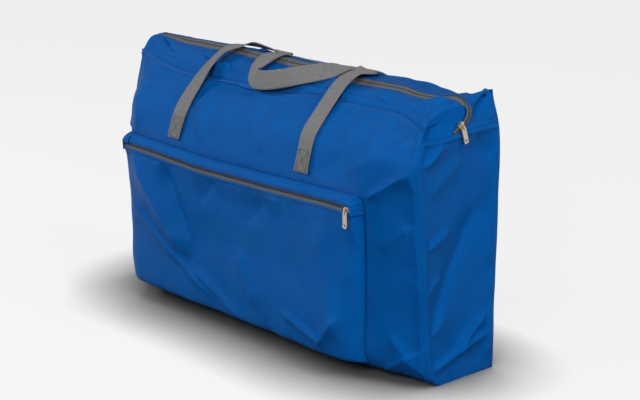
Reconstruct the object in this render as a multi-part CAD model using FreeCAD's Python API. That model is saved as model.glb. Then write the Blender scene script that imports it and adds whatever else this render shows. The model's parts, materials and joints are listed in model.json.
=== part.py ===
"""Zipped carry bag for a folded massage table: a stuffed cloth case with a zipped top, a zipped
front pocket and two webbing handles.  Millimetres, +X along the bag, -Y towards the pocket, +Z up.
The origin is the centre of the base between the two end panels."""
import FreeCAD, Part
import math
import os

V = FreeCAD.Vector

# ---- bag body ------------------------------------------------------------------------------
BAG_LENGTH = 980.0            # outer face to outer face of the end panels
BASE_DEPTH = 156.0            # front foot to back foot of the base
FRONT_SEAM_HEIGHT = 526.0     # straight top edge of the front panel
BACK_SEAM_RISE = 18.0         # the back panel's top edge is this much higher
ZIP_RISE = 31.0               # and the ridge where the main zip runs, this much
END_SEAM_DROP = 23.0          # level seam between an end panel and the zip strip is this much lower
FRONT_BULGE = 89.0            # how far the stuffed front stands out from its feet
BACK_BULGE = 40.0
CLOTH = 2.0                   # padded cloth
GAP = 0.3                     # between cloth pieces that move past each other
BINDING_WIDTH = 12.0          # tape that binds the raw seams inside
BINDING = 0.9

# ---- zips ----------------------------------------------------------------------------------
TAPE_WIDTH = 11.0             # one woven tape, from cloth edge to coil
TAPE = 1.2
COIL_WIDTH = 2.6              # one row of coil
COIL = 2.4
COIL_GAP = 2.2                # between the two rows of coil
ZIP_END_TURN = 5.5            # room between the folding top and each end of the bag
DROP_LEAN = 30.0              # degrees the short end run of the main zip leans to the front
DROP_FOOT_Y = -35.0           # where that run meets the end seam

# ---- pocket --------------------------------------------------------------------------------
POCKET_LENGTH = 752.0
POCKET_BOTTOM = 33.0
POCKET_SEAM_HEIGHT = 376.0    # seam between pocket lid and front panel
POCKET_ZIP_TOP = 364.0        # lower edge of the lid's cloth
POCKET_DEPTH = 31.0
POCKET_WALL = 8.0             # lean of the pocket's end walls beside its zip
POCKET_ROUND = 60.0           # how far the rounded ends reach in, lower down
LID_END = 28.0                # still part of the lid at each end of the pocket

# ---- webbing -------------------------------------------------------------------------------
WEBBING_WIDTH = 40.0
WEBBING = 2.4
HANDLE_HALF_SPREAD = 205.0    # centre of a sewn end from the middle of the bag
SEWN_DROP = 86.0              # a sewn end starts this far below the front seam
SEWN_LENGTH = 49.0

# ---- metal pulls ---------------------------------------------------------------------------
SLIDER_LENGTH = 15.0
SLIDER_WIDTH = 12.0
SLIDER_PLATE = 1.4
SLIDER_CLEAR = 0.5            # between the slider's plates and the coil
LINK_LENGTH = 11.0
LINK_WIDTH = 5.6
LINK = 1.8
PIN_RADIUS = 0.9
EYE_RADIUS = 1.35
TAB_LENGTH = 34.0
TAB_WIDTH = 11.0
TAB = 1.6
PULL_TILT = 18.0              # degrees the main pull hangs out of plumb

back_seam_height = FRONT_SEAM_HEIGHT + BACK_SEAM_RISE
zip_height = FRONT_SEAM_HEIGHT + ZIP_RISE
end_seam_height = FRONT_SEAM_HEIGHT - END_SEAM_DROP
sewn_top = FRONT_SEAM_HEIGHT - SEWN_DROP
sewn_bottom = sewn_top - SEWN_LENGTH
half_length = BAG_LENGTH / 2
half_base = BASE_DEPTH / 2
zip_half = COIL_GAP / 2
coil_outer = zip_half + COIL_WIDTH
tape_outer = coil_outer + TAPE_WIDTH - COIL_WIDTH
plateau_y = -half_base - FRONT_BULGE
pocket_half = POCKET_LENGTH / 2
pocket_y = plateau_y - POCKET_DEPTH


# Where a rib is divided into arcs, in shares of its length: closer where it turns more.
ARC_SHARES = [0.0, 1.0, 2.0, 3.2, 5.0, 8.0, 12.0, 14.4, 16.0, 17.2, 18.4, 20.0]
ARC_STEPS = 20.0
STRAIGHT = 0.02               # an arc flatter than this is drawn straight

# ---- helpers -------------------------------------------------------------------------------
def knots_for(count, degree):
    """Clamped, evenly spaced knots and their multiplicities."""
    spans = count - degree
    return list(range(spans + 1)), [degree + 1] + [1] * (spans - 1) + [degree + 1]


def sheet_face(rows):
    """Smooth face drawn by a net of poles; its edges follow the outer poles."""
    u_degree = min(3, len(rows) - 1)
    v_degree = min(3, len(rows[0]) - 1)
    u_knots, u_mults = knots_for(len(rows), u_degree)
    v_knots, v_mults = knots_for(len(rows[0]), v_degree)
    surface = Part.BSplineSurface()
    surface.buildFromPolesMultsKnots(rows, u_mults, v_mults, u_knots, v_knots, False, False,
                                     u_degree, v_degree)
    return surface.toShape()


def rib_edges(poles):
    """Smooth upright edge that follows its poles, as a chain of short arcs and straights."""
    knots, mults = knots_for(len(poles), 3)
    curve = Part.BSplineCurve()
    curve.buildFromPolesMultsKnots(poles, mults, knots, False, 3)
    last = curve.LastParameter
    spots = [curve.value(last * share / ARC_STEPS) for share in ARC_SHARES]
    halfway = [(a + b) / 2 for a, b in zip(ARC_SHARES, ARC_SHARES[1:])]
    middles = [curve.value(last * share / ARC_STEPS) for share in halfway]
    edges = []
    for start, middle, end in zip(spots, middles, spots[1:]):
        bow = (middle - start).cross(end - start).Length / (end - start).Length
        chain = Part.LineSegment(start, end) if bow < STRAIGHT else Part.Arc(start, middle, end)
        edges.append(chain.toShape())
    return edges


def skin(ribs):
    """Cloth face stretched straight from rib to rib."""
    return Part.makeLoft([Part.Wire(rib_edges(poles)) for poles in ribs], False, True)


def rib_wire(poles, near, far):
    """Closed outline between a rib moved by near and the same rib moved by far, both along Y."""
    out = rib_edges([p + V(0, near, 0) for p in poles])
    back = rib_edges([p + V(0, far, 0) for p in poles])
    foot, head = (Part.LineSegment(end + V(0, near, 0), end + V(0, far, 0)).toShape()
                  for end in (poles[0], poles[-1]))
    return Part.Wire(Part.sortEdges(out + [head] + back[::-1] + [foot])[0])


def slab(ribs, near, far):
    """Solid over a row of ribs: pushed straight between the two middle ribs, lofted outside them."""
    wires = [rib_wire(poles, near, far) for poles in ribs]
    half = len(ribs) // 2
    run = V(ribs[half][0].x - ribs[half - 1][0].x, 0, 0)
    middle = Part.Face(wires[half - 1]).extrude(run)
    ends = [Part.makeLoft(wires[:half], True, True), Part.makeLoft(wires[half:], True, True)]
    return middle.multiFuse(ends)


def plate(points, push):
    """Flat cloth or metal piece: a polygon pushed through its thickness."""
    return Part.Face(Part.makePolygon(points + points[:1])).extrude(push)


def box(low, high):
    return Part.makeBox(high[0] - low[0], high[1] - low[1], high[2] - low[2], V(*low))


def mirrored(shape):
    """The same piece at the other end of the bag."""
    return shape.mirror(V(0, 0, 0), V(1, 0, 0))


def both_ends(shape):
    return Part.Compound([shape, mirrored(shape)])


def save(node, shape):
    bad = [s for s in shape.Solids if not s.isValid() or s.Volume <= 0]
    box_now = shape.BoundBox
    print(f"{node:28s} solids {len(shape.Solids)} bad {len(bad)} vol {shape.Volume / 1000:8.2f} cm3"
          f"  x {box_now.XMin:7.1f} {box_now.XMax:7.1f}  y {box_now.YMin:7.1f} {box_now.YMax:7.1f}"
          f"  z {box_now.ZMin:6.1f} {box_now.ZMax:6.1f}")
    shape.exportStep(f"parts/{node}.step")


# ---- stuffed panels ------------------------------------------------------------------------
# share of the half length, share of the bulge reached there
FULLNESS = [(1.0, 0.0), (0.9, 0.43), (0.825, 0.765), (0.76, 0.965), (0.70, 1.0)]
# Share of a panel's height, then its bulge at the left end, at the right end and in the middle.
FRONT_RISE = [(0.0, 0.0, 0.0, 0.0), (0.022, 0.06, 0.2, 0.5), (0.06, 0.1, 0.36, 0.97),
              (0.15, 0.12, 0.42, 1.0), (0.38, 0.12, 0.46, 1.0), (0.6, 0.1, 0.62, 1.0),
              (0.76, 0.08, 0.74, 1.0), (0.865, 0.06, 0.72, 0.97), (0.93, 0.04, 0.6, 0.6),
              (0.975, 0.02, 0.3, 0.22), (1.0, 0.0, 0.0, 0.0)]
BACK_RISE = [(0.0, 0.0, 0.0, 0.0), (0.04, 0.04, 0.04, 0.5), (0.12, 0.06, 0.06, 0.95),
             (0.3, 0.06, 0.06, 1.0), (0.6, 0.06, 0.06, 1.0), (0.8, 0.06, 0.1, 0.95),
             (0.93, 0.04, 0.12, 0.5), (1.0, 0.0, 0.0, 0.0)]


def panel_ribs(rise, top, side, bulge):
    """Upright ribs of a big panel, end to end; side is -1 for the front and +1 for the back."""
    left = [(-share * half_length, 1, fullness) for share, fullness in FULLNESS]
    right = [(share * half_length, 2, fullness) for share, fullness in FULLNESS[::-1]]
    return [[V(x, side * (half_base + bulge * (row[end] + (row[3] - row[end]) * fullness)), row[0] * top)
             for row in rise] for x, end, fullness in left + right]


front_ribs = panel_ribs(FRONT_RISE, FRONT_SEAM_HEIGHT, -1, FRONT_BULGE)
back_ribs = panel_ribs(BACK_RISE, back_seam_height, 1, BACK_BULGE)
DEEP = 500.0                  # past every piece; only used to trim
behind_front = slab(front_ribs, 0, DEEP)
inside_front = slab(front_ribs, CLOTH, DEEP)
inside_back = slab(back_ribs, -CLOTH, -DEEP)
front_face = skin(front_ribs)
back_face = skin(back_ribs)


def panel_point(face, x, z):
    """Where a level line across the bag meets the outer face of a panel."""
    across = Part.LineSegment(V(x, -DEEP, z), V(x, DEEP, z)).toShape()
    return across.distToShape(face)[1][0][0]


def fitted(shape):
    """Trim a piece to the room between the front and back panels."""
    return shape.common(inside_front).common(inside_back)


def make_panels():
    save("front_panel", slab(front_ribs, 0, CLOTH))
    save("back_panel", slab(back_ribs, 0, -CLOTH))
    end = box((half_length - CLOTH, -DEEP / 2, 0), (half_length, DEEP / 2, end_seam_height))
    save("right_end_panel", fitted(end))
    save("left_end_panel", fitted(mirrored(end)))
    inner_x = half_length - CLOTH
    save("base_panel", fitted(box((-inner_x, -DEEP / 2, 0), (inner_x, DEEP / 2, CLOTH))))


def make_bindings():
    """Tape folded round the raw seams inside: up both ends and along the base."""
    inner_x = half_length - CLOTH
    seam_y = half_base - CLOTH - 1
    for node, y_low, y_high in (("front_seam_binding", -seam_y, BINDING_WIDTH - seam_y),
                                ("back_seam_binding", seam_y - BINDING_WIDTH, seam_y)):
        floor = box((-inner_x, y_low, CLOTH), (inner_x, y_high, CLOTH + BINDING))
        riser = box((inner_x - BINDING, y_low, CLOTH + BINDING), (inner_x, y_high, end_seam_height))
        save(node, floor.fuse(riser).fuse(mirrored(riser)))


# ---- zipped top ----------------------------------------------------------------------------
flap_half = half_length - ZIP_END_TURN


def top_strip(side, seam_height):
    """Cloth between a top seam and the zip, with a soft crown across it."""
    seam_y = half_base - CLOTH - GAP
    middle_y = (seam_y + tape_outer) / 2
    crown = 0.62 * zip_height + 0.38 * seam_height
    rows = [[V(x, side * y, z) for x in (-flap_half, 0, flap_half)]
            for y, z in ((seam_y, seam_height), (middle_y, crown), (tape_outer, zip_height))]
    return sheet_face(rows).extrude(V(0, 0, -CLOTH))


def top_tape(side):
    low, high = sorted((side * coil_outer, side * tape_outer))
    return box((-flap_half, low, zip_height - CLOTH), (flap_half, high, zip_height - CLOTH + TAPE))


def top_coil(side):
    low, high = sorted((side * zip_half, side * coil_outer))
    floor = zip_height - CLOTH - 0.4
    bar = box((-flap_half, low, floor), (flap_half, high, floor + COIL))
    return bar.makeFillet(0.7, [e for e in bar.Edges if e.Length > flap_half])


def make_top():
    for name, side, height in (("front", -1, FRONT_SEAM_HEIGHT), ("back", 1, back_seam_height)):
        save(f"{name}_top_strip", top_strip(side, height))
        save(f"main_zip_{name}_tape", top_tape(side))
        save(f"main_zip_{name}_coil", top_coil(side))


# ---- ends of the zip strip -----------------------------------------------------------------
drop_run = V(0, math.sin(math.radians(DROP_LEAN)), math.cos(math.radians(DROP_LEAN)))
drop_across = V(0, drop_run.z, -drop_run.y)
drop_foot = V(half_length, DROP_FOOT_Y, end_seam_height)
drop_length = (zip_height - CLOTH - end_seam_height) / drop_run.z


def drop_point(along, across, out=0.0):
    """A point of the leaning end run: along it, across it to the back, and out of the bag."""
    return drop_foot + drop_run * along + drop_across * across + V(out, 0, 0)


def drop_bar(along, across, out):
    """Straight bar of the end run between pairs of distances."""
    corners = [drop_point(along[0], across[0], out[0]), drop_point(along[1], across[0], out[0]),
               drop_point(along[1], across[1], out[0]), drop_point(along[0], across[1], out[0])]
    return plate(corners, V(out[1] - out[0], 0, 0))


def strip_end(place):
    """The zip strip turned down over one end of the bag, with a slot for the tapes."""
    lower = fitted(place(box((half_length - CLOTH, -DEEP / 2, end_seam_height + 0.01),
                             (half_length, DEEP / 2, FRONT_SEAM_HEIGHT))))
    inner = half_base - CLOTH
    outline = [(-inner, FRONT_SEAM_HEIGHT - 1), (-inner, FRONT_SEAM_HEIGHT), (-tape_outer, zip_height),
               (tape_outer, zip_height), (inner, back_seam_height), (inner, FRONT_SEAM_HEIGHT - 1)]
    gable = plate([V(half_length, y, z) for y, z in outline], V(-CLOTH, 0, 0))
    slot = drop_bar((-tape_outer, drop_length + tape_outer), (-tape_outer, tape_outer), (-2 * CLOTH, CLOTH))
    return lower.fuse(place(gable)).cut(place(slot))


def drop_tape(side):
    low, high = sorted((side * coil_outer, side * tape_outer))
    tape = drop_bar((0.0, drop_length), (low, high), (-CLOTH, -CLOTH + TAPE))
    return tape.common(box((0, -DEEP, end_seam_height), (half_length, DEEP, zip_height)))


def drop_coil(side):
    low, high = sorted((side * zip_half, side * coil_outer))
    return drop_bar((2.5, drop_length - 2.5), (low, high), (-CLOTH - 0.4, -CLOTH - 0.4 + COIL))


def make_strip_ends():
    for name, place in (("right", lambda shape: shape), ("left", mirrored)):
        save(f"{name}_strip_end", strip_end(place))
        save(f"main_zip_{name}_drop_tapes", place(Part.Compound([drop_tape(-1), drop_tape(1)])))
        save(f"main_zip_{name}_drop_coils", place(Part.Compound([drop_coil(-1), drop_coil(1)])))


# ---- pocket --------------------------------------------------------------------------------
zip_centre = POCKET_ZIP_TOP - tape_outer
zip_floor = zip_centre - tape_outer
lid_half = pocket_half - LID_END
pocket_zip_half = pocket_half - POCKET_WALL


def make_pocket_panel():
    """Dished cloth: it stands off the front panel and rounds back to it at the ends and the base."""
    lean, reach = POCKET_WALL, POCKET_ROUND
    # Distance in from the pocket's edge, then how far the cloth stands off beside the zip and below.
    ends = [(0.0, 0.0, 0.0), (lean, 1.0, 0.5), (reach / 3, 1.0, 0.8), (0.62 * reach, 1.0, 0.95),
            (reach, 1.0, 1.0)]
    # Height, how far the cloth stands off there, and how much of the lower shape of the ends it has.
    rise = [(POCKET_BOTTOM, 0.0, 1.0), (POCKET_BOTTOM + 2, 0.6, 1.0), (POCKET_BOTTOM + 9, 0.95, 1.0),
            (POCKET_BOTTOM + 30, 1.0, 1.0), (0.5 * (POCKET_BOTTOM + zip_floor), 1.0, 1.0),
            (zip_floor - 40, 1.0, 0.5), (zip_floor, 1.0, 0.0)]
    places = [(inset - pocket_half, beside, below) for inset, beside, below in ends]
    places = places + [(-x, beside, below) for x, beside, below in places[::-1]]
    ribs = [[V(x, plateau_y - POCKET_DEPTH * stand * (beside + (below - beside) * lower), z)
             for z, stand, lower in rise] for x, beside, below in places]
    save("pocket_panel", slab(ribs, 0, CLOTH).cut(behind_front))


def pocket_corner():
    """Mitred cloth beside the end of the pocket zip and the lid."""
    seam, rim = POCKET_SEAM_HEIGHT, POCKET_ZIP_TOP
    side = [V(pocket_half, plateau_y, seam), V(pocket_half, plateau_y, zip_floor),
            V(pocket_zip_half, pocket_y, zip_floor), V(pocket_zip_half, pocket_y, rim)]
    top = [V(lid_half + GAP, plateau_y, seam), V(pocket_half - CLOTH, plateau_y, seam),
           V(pocket_zip_half - CLOTH, pocket_y, rim), V(lid_half + GAP, pocket_y, rim)]
    return plate(side, V(-CLOTH, 0, 0)).fuse(plate(top, V(0, 0, -CLOTH))).cut(behind_front)


def pocket_bar(x_low, x_high, low, high, thick, back):
    """Bar along the pocket zip; low and high are measured from the zip's centre."""
    front = pocket_y + back
    return box((x_low, front, zip_centre + low), (x_high, front + thick, zip_centre + high))


def make_pocket_zip():
    seam_y = plateau_y - GAP
    lid = [V(-lid_half, seam_y, POCKET_SEAM_HEIGHT), V(lid_half, seam_y, POCKET_SEAM_HEIGHT),
           V(lid_half, pocket_y, POCKET_ZIP_TOP), V(-lid_half, pocket_y, POCKET_ZIP_TOP)]
    save("pocket_lid_strip", plate(lid, V(0, 0, -CLOTH)))
    tape_top = tape_outer - CLOTH
    tape_end = pocket_zip_half - CLOTH
    save("pocket_zip_upper_tape", pocket_bar(-lid_half, lid_half, coil_outer, tape_top, TAPE, 0.0))
    save("pocket_zip_upper_coil", pocket_bar(-lid_half, lid_half, zip_half, coil_outer, COIL, -0.6))
    save("pocket_zip_lower_tape", pocket_bar(-tape_end, tape_end, -tape_outer, -coil_outer, TAPE, 0.0))
    save("pocket_zip_lower_coil", pocket_bar(-tape_end, tape_end, -coil_outer, -zip_half, COIL, -0.6))
    end_tape = pocket_bar(lid_half + GAP, tape_end, coil_outer, tape_top, TAPE, 0.0)
    end_coil = pocket_bar(lid_half + GAP, tape_end, zip_half, coil_outer, COIL, -0.6)
    save("pocket_zip_end_tapes", both_ends(end_tape))
    save("pocket_zip_end_coils", both_ends(end_coil))
    save("pocket_corners", both_ends(pocket_corner()))


# ---- webbing handles -----------------------------------------------------------------------
def blended(directions, knots, t):
    """Direction at parameter t, eased between the stations on either side of it."""
    i = max(k for k in range(len(knots) - 1) if knots[k] <= t or k == 0)
    u = (t - knots[i]) / (knots[i + 1] - knots[i])
    ease = u * u * (3 - 2 * u)
    return directions[i] * (1 - ease) + directions[i + 1] * ease


def ribbon(stations, samples):
    """Webbing swept along its middle line.  A station is a point and the direction of its width."""
    path = Part.BSplineCurve()
    path.interpolate([V(*point) for point, _ in stations])
    knots = path.getKnots()
    first, last = path.FirstParameter, path.LastParameter
    wires = []
    for i in range(samples + 1):
        t = first + (last - first) * i / samples
        centre = path.value(t)
        run = V(*path.tangent(t)[0])
        across = blended([V(*direction) for _, direction in stations], knots, t)
        across = (across - run * across.dot(run)).normalize()
        through = run.cross(across)
        a = across * (WEBBING_WIDTH / 2)
        n = through * (WEBBING / 2)
        corners = [centre - a - n, centre + a - n, centre + a + n, centre - a + n]
        wires.append(Part.makePolygon(corners + corners[:1]))
    return Part.makeLoft(wires, True, True)


def mirrored_stations(half):
    """A handle's stations from one sewn end to the other."""
    other = [((-p[0], p[1], p[2]), (-w[0], w[1], w[2])) for p, w in half[::-1]]
    return half + other


FLAT = (1.0, 0.0, 0.0)
FRONT_GRIP = (0.0, -0.93, 0.36)
BACK_GRIP = (0.0, 0.25, 0.97)
# Up a leg: shift along the bag, rise above the sewn end, stand-off from the panel, way its width
# points.
FRONT_LEG = [(0, 0, 1.0, FLAT), (0, 26, 3.2, FLAT), (-2, 54, 6.5, FLAT)]
BACK_LEG = [(0, 0, 1.0, FLAT), (8, 30, 2.4, (1.0, 0.0, -0.2)), (26, 66, 4.0, (1.0, 0.2, -0.3))]
# Over the top to near the loop's middle: shift along the bag, Y, height above the zip, way its width
# points.
FRONT_LOOP = [(-4, -80, -22, FLAT), (-4, -42, 2, FLAT), (-4, -5, 12, (1.0, 0.15, 0.0)),
              (8, 30, 13, (0.75, -0.55, 0.35)), (48, 54, 9, (0.25, -0.9, 0.4)), (110, 60, 4, FRONT_GRIP),
              (170, 61, 3, FRONT_GRIP)]
BACK_LOOP = [(48, 82, -8, (1.0, 0.4, -0.2)), (82, 40, -0.5, (1.0, 0.5, 0.0)), (100, 0, 5, (1.0, 0.3, 0.0)),
             (108, -40, 2, (0.9, 0.0, 0.25)), (128, -76, -12, (0.6, 0.3, 0.75)), (169, -92, -18, BACK_GRIP)]
LEG_FOOT = sewn_top - 1.0     # the swept loop starts here and is trimmed just above its sewn ends
RIBBON_STEPS = 34


def leg_station(face, side, x, rise, stand_off, width):
    """A point of a leg a little way off its panel, measured up from the sewn end."""
    z = LEG_FOOT + rise
    return (x, panel_point(face, x, z).y + side * (WEBBING / 2 + stand_off), z), width


def handle_half(face, side, leg, loop):
    """Stations of a handle from its left sewn end to near the middle of its loop."""
    x = -HANDLE_HALF_SPREAD
    stations = [leg_station(face, side, x + shift, rise, off, width) for shift, rise, off, width in leg]
    return stations + [((x + shift, y, zip_height + up), width) for shift, y, up, width in loop]


def sewn_end(side):
    """Folded end of a handle, sewn flat on its panel."""
    layer = slab(front_ribs if side < 0 else back_ribs, side * WEBBING, 0)
    return layer.common(box((HANDLE_HALF_SPREAD - WEBBING_WIDTH / 2, -DEEP, sewn_bottom),
                            (HANDLE_HALF_SPREAD + WEBBING_WIDTH / 2, DEEP, sewn_top)))


def loose_loop(half):
    """A handle's loop, trimmed level just above its sewn ends."""
    sewn_zone = box((-BAG_LENGTH, -DEEP, 0), (BAG_LENGTH, DEEP, sewn_top + GAP))
    return ribbon(mirrored_stations(half), RIBBON_STEPS).cut(sewn_zone)


def make_handles():
    save("front_handle", loose_loop(handle_half(front_face, -1, FRONT_LEG, FRONT_LOOP)))
    save("back_handle", loose_loop(handle_half(back_face, 1, BACK_LEG, BACK_LOOP)))
    save("front_handle_sewn_ends", both_ends(sewn_end(-1)))
    save("back_handle_sewn_ends", both_ends(sewn_end(1)))
    for name, face, side in (("front", front_face, -1), ("back", back_face, 1)):
        pivot = panel_point(face, HANDLE_HALF_SPREAD, sewn_top).y + side * (WEBBING + 1.0)
        print(f"  {name} handle pivot y {pivot:.2f} z {sewn_top + GAP:.2f}")


# ---- metal sliders and pulls ---------------------------------------------------------------
plate_low = COIL / 2 + SLIDER_CLEAR
pin_height = plate_low + SLIDER_PLATE + LINK_WIDTH / 2 + 0.4
eye_span = LINK_LENGTH - LINK_WIDTH


def slider_outline(z):
    """Shield shape: round shoulders at the leading end, narrow tail."""
    front, tail = SLIDER_LENGTH / 2, -SLIDER_LENGTH / 2
    wide, narrow = SLIDER_WIDTH / 2, SLIDER_WIDTH / 2 - 2.2
    nose = Part.Arc(V(front - 4, wide, z), V(front, 0, z), V(front - 4, -wide, z)).toShape()
    turns = [V(front - 4, -wide, z), V(tail + 3, -narrow, z), V(tail, -narrow + 1.2, z),
             V(tail, narrow - 1.2, z), V(tail + 3, narrow, z), V(front - 4, wide, z)]
    sides = [Part.LineSegment(p, q).toShape() for p, q in zip(turns, turns[1:])]
    return Part.Face(Part.Wire([nose] + sides))


def slider_body(pin_run):
    """Two plates joined by a post between the coils, with a staple that carries the link.

    Built flat: the nose points along +X, +Z is away from the bag, the coil's middle is z = 0.
    """
    outer = slider_outline(plate_low).extrude(V(0, 0, SLIDER_PLATE))
    inner = slider_outline(-plate_low - SLIDER_PLATE).extrude(V(0, 0, SLIDER_PLATE))
    post = Part.makeCylinder(zip_half - GAP, 2 * plate_low, V(SLIDER_LENGTH / 2 - 4.5, 0, -plate_low))
    cheek, cheek_radius = 1.2, 1.5
    reach = LINK / 2 + GAP + cheek
    lift = V(0, 0, pin_height)
    pin = Part.makeCylinder(PIN_RADIUS, 2 * reach, lift - pin_run * reach, pin_run)
    side = V(-pin_run.y, pin_run.x, 0) * cheek_radius
    staple = [pin]
    for start in (-reach, reach - cheek):
        staple.append(Part.makeCylinder(cheek_radius, cheek, lift + pin_run * start, pin_run))
        foot = V(0, 0, plate_low + SLIDER_PLATE / 2) + pin_run * start
        head = lift + pin_run * start
        staple.append(plate([foot - side, foot + side, head + side, head - side], pin_run * cheek))
    return outer.multiFuse([inner, post] + staple).removeSplitter()


def link_body(pin, pin_run, down, out):
    """Flat link with an eye at each end, hung on the slider's pin."""
    radius = LINK_WIDTH / 2
    start = pin - pin_run * (LINK / 2)
    far = start + down * eye_span
    body = Part.makeCylinder(radius, LINK, start, pin_run)
    body = body.fuse(Part.makeCylinder(radius, LINK, far, pin_run))
    bar = [start + out * radius, start - out * radius, far - out * radius, far + out * radius]
    body = body.fuse(plate(bar, pin_run * LINK))
    for centre in (start, far):
        body = body.cut(Part.makeCylinder(EYE_RADIUS, 3 * LINK, centre - pin_run * LINK, pin_run))
    return body.removeSplitter()


def tab_body(top, pin_run, down, out):
    """Flat tab with a fork and pin at the top and a slot at the foot."""
    half_width, corner, crown = TAB_WIDTH / 2, 2.0, 2.4
    low = TAB_LENGTH - crown

    def spot(across, along, back=0.0):
        return top + pin_run * across + down * along - out * back

    profile = [(corner - half_width, -crown), (-half_width, corner - crown), (-half_width, low - corner),
               (corner - half_width, low)]
    profile = profile + [(-across, along) for across, along in profile[::-1]]
    tab = plate([spot(x, y, TAB / 2) for x, y in profile], out * TAB)
    window_half, slot_half, slot_low = LINK / 2 + 0.6, half_width - 3.0, low - 4.5
    for x_half, y_low, y_high in ((window_half, -crown - 1, LINK_WIDTH / 2 + 1.2),
                                  (slot_half, slot_low - 3.4, slot_low)):
        window = [spot(-x_half, y_low, TAB), spot(x_half, y_low, TAB),
                  spot(x_half, y_high, TAB), spot(-x_half, y_high, TAB)]
        tab = tab.cut(plate(window, out * (2 * TAB)))
    pin = Part.makeCylinder(PIN_RADIUS, 2 * window_half + 1.6, spot(-window_half - 0.8, 0), pin_run)
    return tab.fuse(pin).removeSplitter()


def make_pull(name, origin, closing, out, down):
    """Slider, link and tab at one place of a zip."""
    across = out.cross(closing)
    pin_run = out.cross(down)
    flat_pin = V(pin_run.dot(closing), pin_run.dot(across), 0)
    to_place = FreeCAD.Matrix(closing.x, across.x, out.x, origin.x, closing.y, across.y, out.y, origin.y,
                              closing.z, across.z, out.z, origin.z, 0, 0, 0, 1)
    pin = origin + out * pin_height
    save(f"{name}_slider", slider_body(flat_pin).transformed(to_place))
    save(f"{name}_pull_link", link_body(pin, pin_run, down, out))
    save(f"{name}_pull_tab", tab_body(pin + down * eye_span, pin_run, down, out))
    print(f"  {name} pin {pin}  run {pin_run}  second {pin + down * eye_span}")


def make_pulls():
    tilt = math.radians(PULL_TILT)
    coil_middle = -CLOTH - 0.4 + COIL / 2
    make_pull("main", drop_point(SLIDER_LENGTH / 2 + 2.5, 0, coil_middle), drop_run * -1, V(1, 0, 0),
              V(0, math.sin(tilt), -math.cos(tilt)))
    pocket_parked = V(lid_half + GAP + SLIDER_LENGTH / 2 + 1.2, pocket_y - 0.6 + COIL / 2, zip_centre)
    make_pull("pocket", pocket_parked, V(1, 0, 0), V(0, -1, 0), V(0, 0, -1))


os.makedirs("parts", exist_ok=True)
make_panels()
make_bindings()
make_top()
make_strip_ends()
make_pocket_panel()
make_pocket_zip()
make_handles()
make_pulls()
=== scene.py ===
# %% [markdown]
# A zipped carry bag for a folded massage table.
# The bag's pieces are already measured and packed as a frame of plain solids.
# This lesson dresses that frame: stuffed cloth, webbing handles, coil zips and metal pulls.
# Lengths and seams come from the frame. The sag of the seams, the folds and the handles'
# slack are lists, set as the photograph shows them.

# %% Load the frame
import json
import math
import bpy
import numpy as np
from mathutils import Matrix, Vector

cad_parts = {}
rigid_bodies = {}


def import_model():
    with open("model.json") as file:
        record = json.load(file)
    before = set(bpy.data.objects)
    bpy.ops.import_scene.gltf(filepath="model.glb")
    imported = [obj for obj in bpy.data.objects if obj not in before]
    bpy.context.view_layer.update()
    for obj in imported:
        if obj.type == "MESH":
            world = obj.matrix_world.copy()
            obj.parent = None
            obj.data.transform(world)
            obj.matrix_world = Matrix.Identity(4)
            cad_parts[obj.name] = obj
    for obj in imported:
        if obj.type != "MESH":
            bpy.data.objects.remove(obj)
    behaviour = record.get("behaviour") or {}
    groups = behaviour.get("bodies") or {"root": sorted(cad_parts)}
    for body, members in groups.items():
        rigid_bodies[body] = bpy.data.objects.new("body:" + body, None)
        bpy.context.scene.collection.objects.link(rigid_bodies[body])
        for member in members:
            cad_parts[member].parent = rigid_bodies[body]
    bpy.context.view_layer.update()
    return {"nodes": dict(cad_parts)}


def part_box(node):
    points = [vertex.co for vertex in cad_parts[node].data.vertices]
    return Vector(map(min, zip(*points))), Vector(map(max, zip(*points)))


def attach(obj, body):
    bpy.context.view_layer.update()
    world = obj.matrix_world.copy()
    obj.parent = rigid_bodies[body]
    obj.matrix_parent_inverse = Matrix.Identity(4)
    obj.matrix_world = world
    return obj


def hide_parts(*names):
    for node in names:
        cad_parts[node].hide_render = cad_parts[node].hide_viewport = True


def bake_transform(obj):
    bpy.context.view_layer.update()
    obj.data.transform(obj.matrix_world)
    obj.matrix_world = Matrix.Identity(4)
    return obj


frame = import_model()

# %% [markdown]
# The sizes below are read from the boxes of the frame's pieces, in metres.
# A frame of another length still gets panels and zips that fit. The lists further down,
# of sags, folds and handle places, are typed and would need a look.

# %% Sizes read from the frame
front_low, front_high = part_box("front_panel")
back_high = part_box("back_panel")[1]
pocket_low, pocket_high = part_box("pocket_panel")
corner_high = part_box("pocket_corners")[1]
strip_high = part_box("front_top_strip")[1]
end_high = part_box("right_end_panel")[1]
lid_low, lid_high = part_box("pocket_lid_strip")
tape_low, tape_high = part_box("main_zip_front_tape")
coil_low, coil_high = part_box("main_zip_front_coil")

ENDS = ((1, "right"), (-1, "left"))        # along X
FACES = ((-1, "front"), (1, "back"))       # along Y
HALF_LENGTH = front_high.x
PLATEAU_Y = front_low.y                 # the flat of the stuffed front
BACK_Y = back_high.y
CLOTH = 0.002
HALF_BASE = -front_high.y + CLOTH
FRONT_BULGE = -HALF_BASE - PLATEAU_Y
BACK_BULGE = BACK_Y - HALF_BASE
FRONT_TOP = front_high.z
BACK_TOP = back_high.z
RIDGE = strip_high.z
END_SEAM = end_high.z
POCKET_HALF = pocket_high.x
POCKET_Y = pocket_low.y
POCKET_BOTTOM = pocket_low.z
POCKET_SEAM = corner_high.z
LID_RIM = lid_low.z + CLOTH
ZIP_FLOOR = pocket_high.z
LID_HALF = lid_high.x
COIL_GAP_HALF = -coil_high.y
TAPE_OUTER = -tape_low.y
print("half length", round(HALF_LENGTH, 3), "plateau", round(PLATEAU_Y, 3), "ridge", round(RIDGE, 3))

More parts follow.
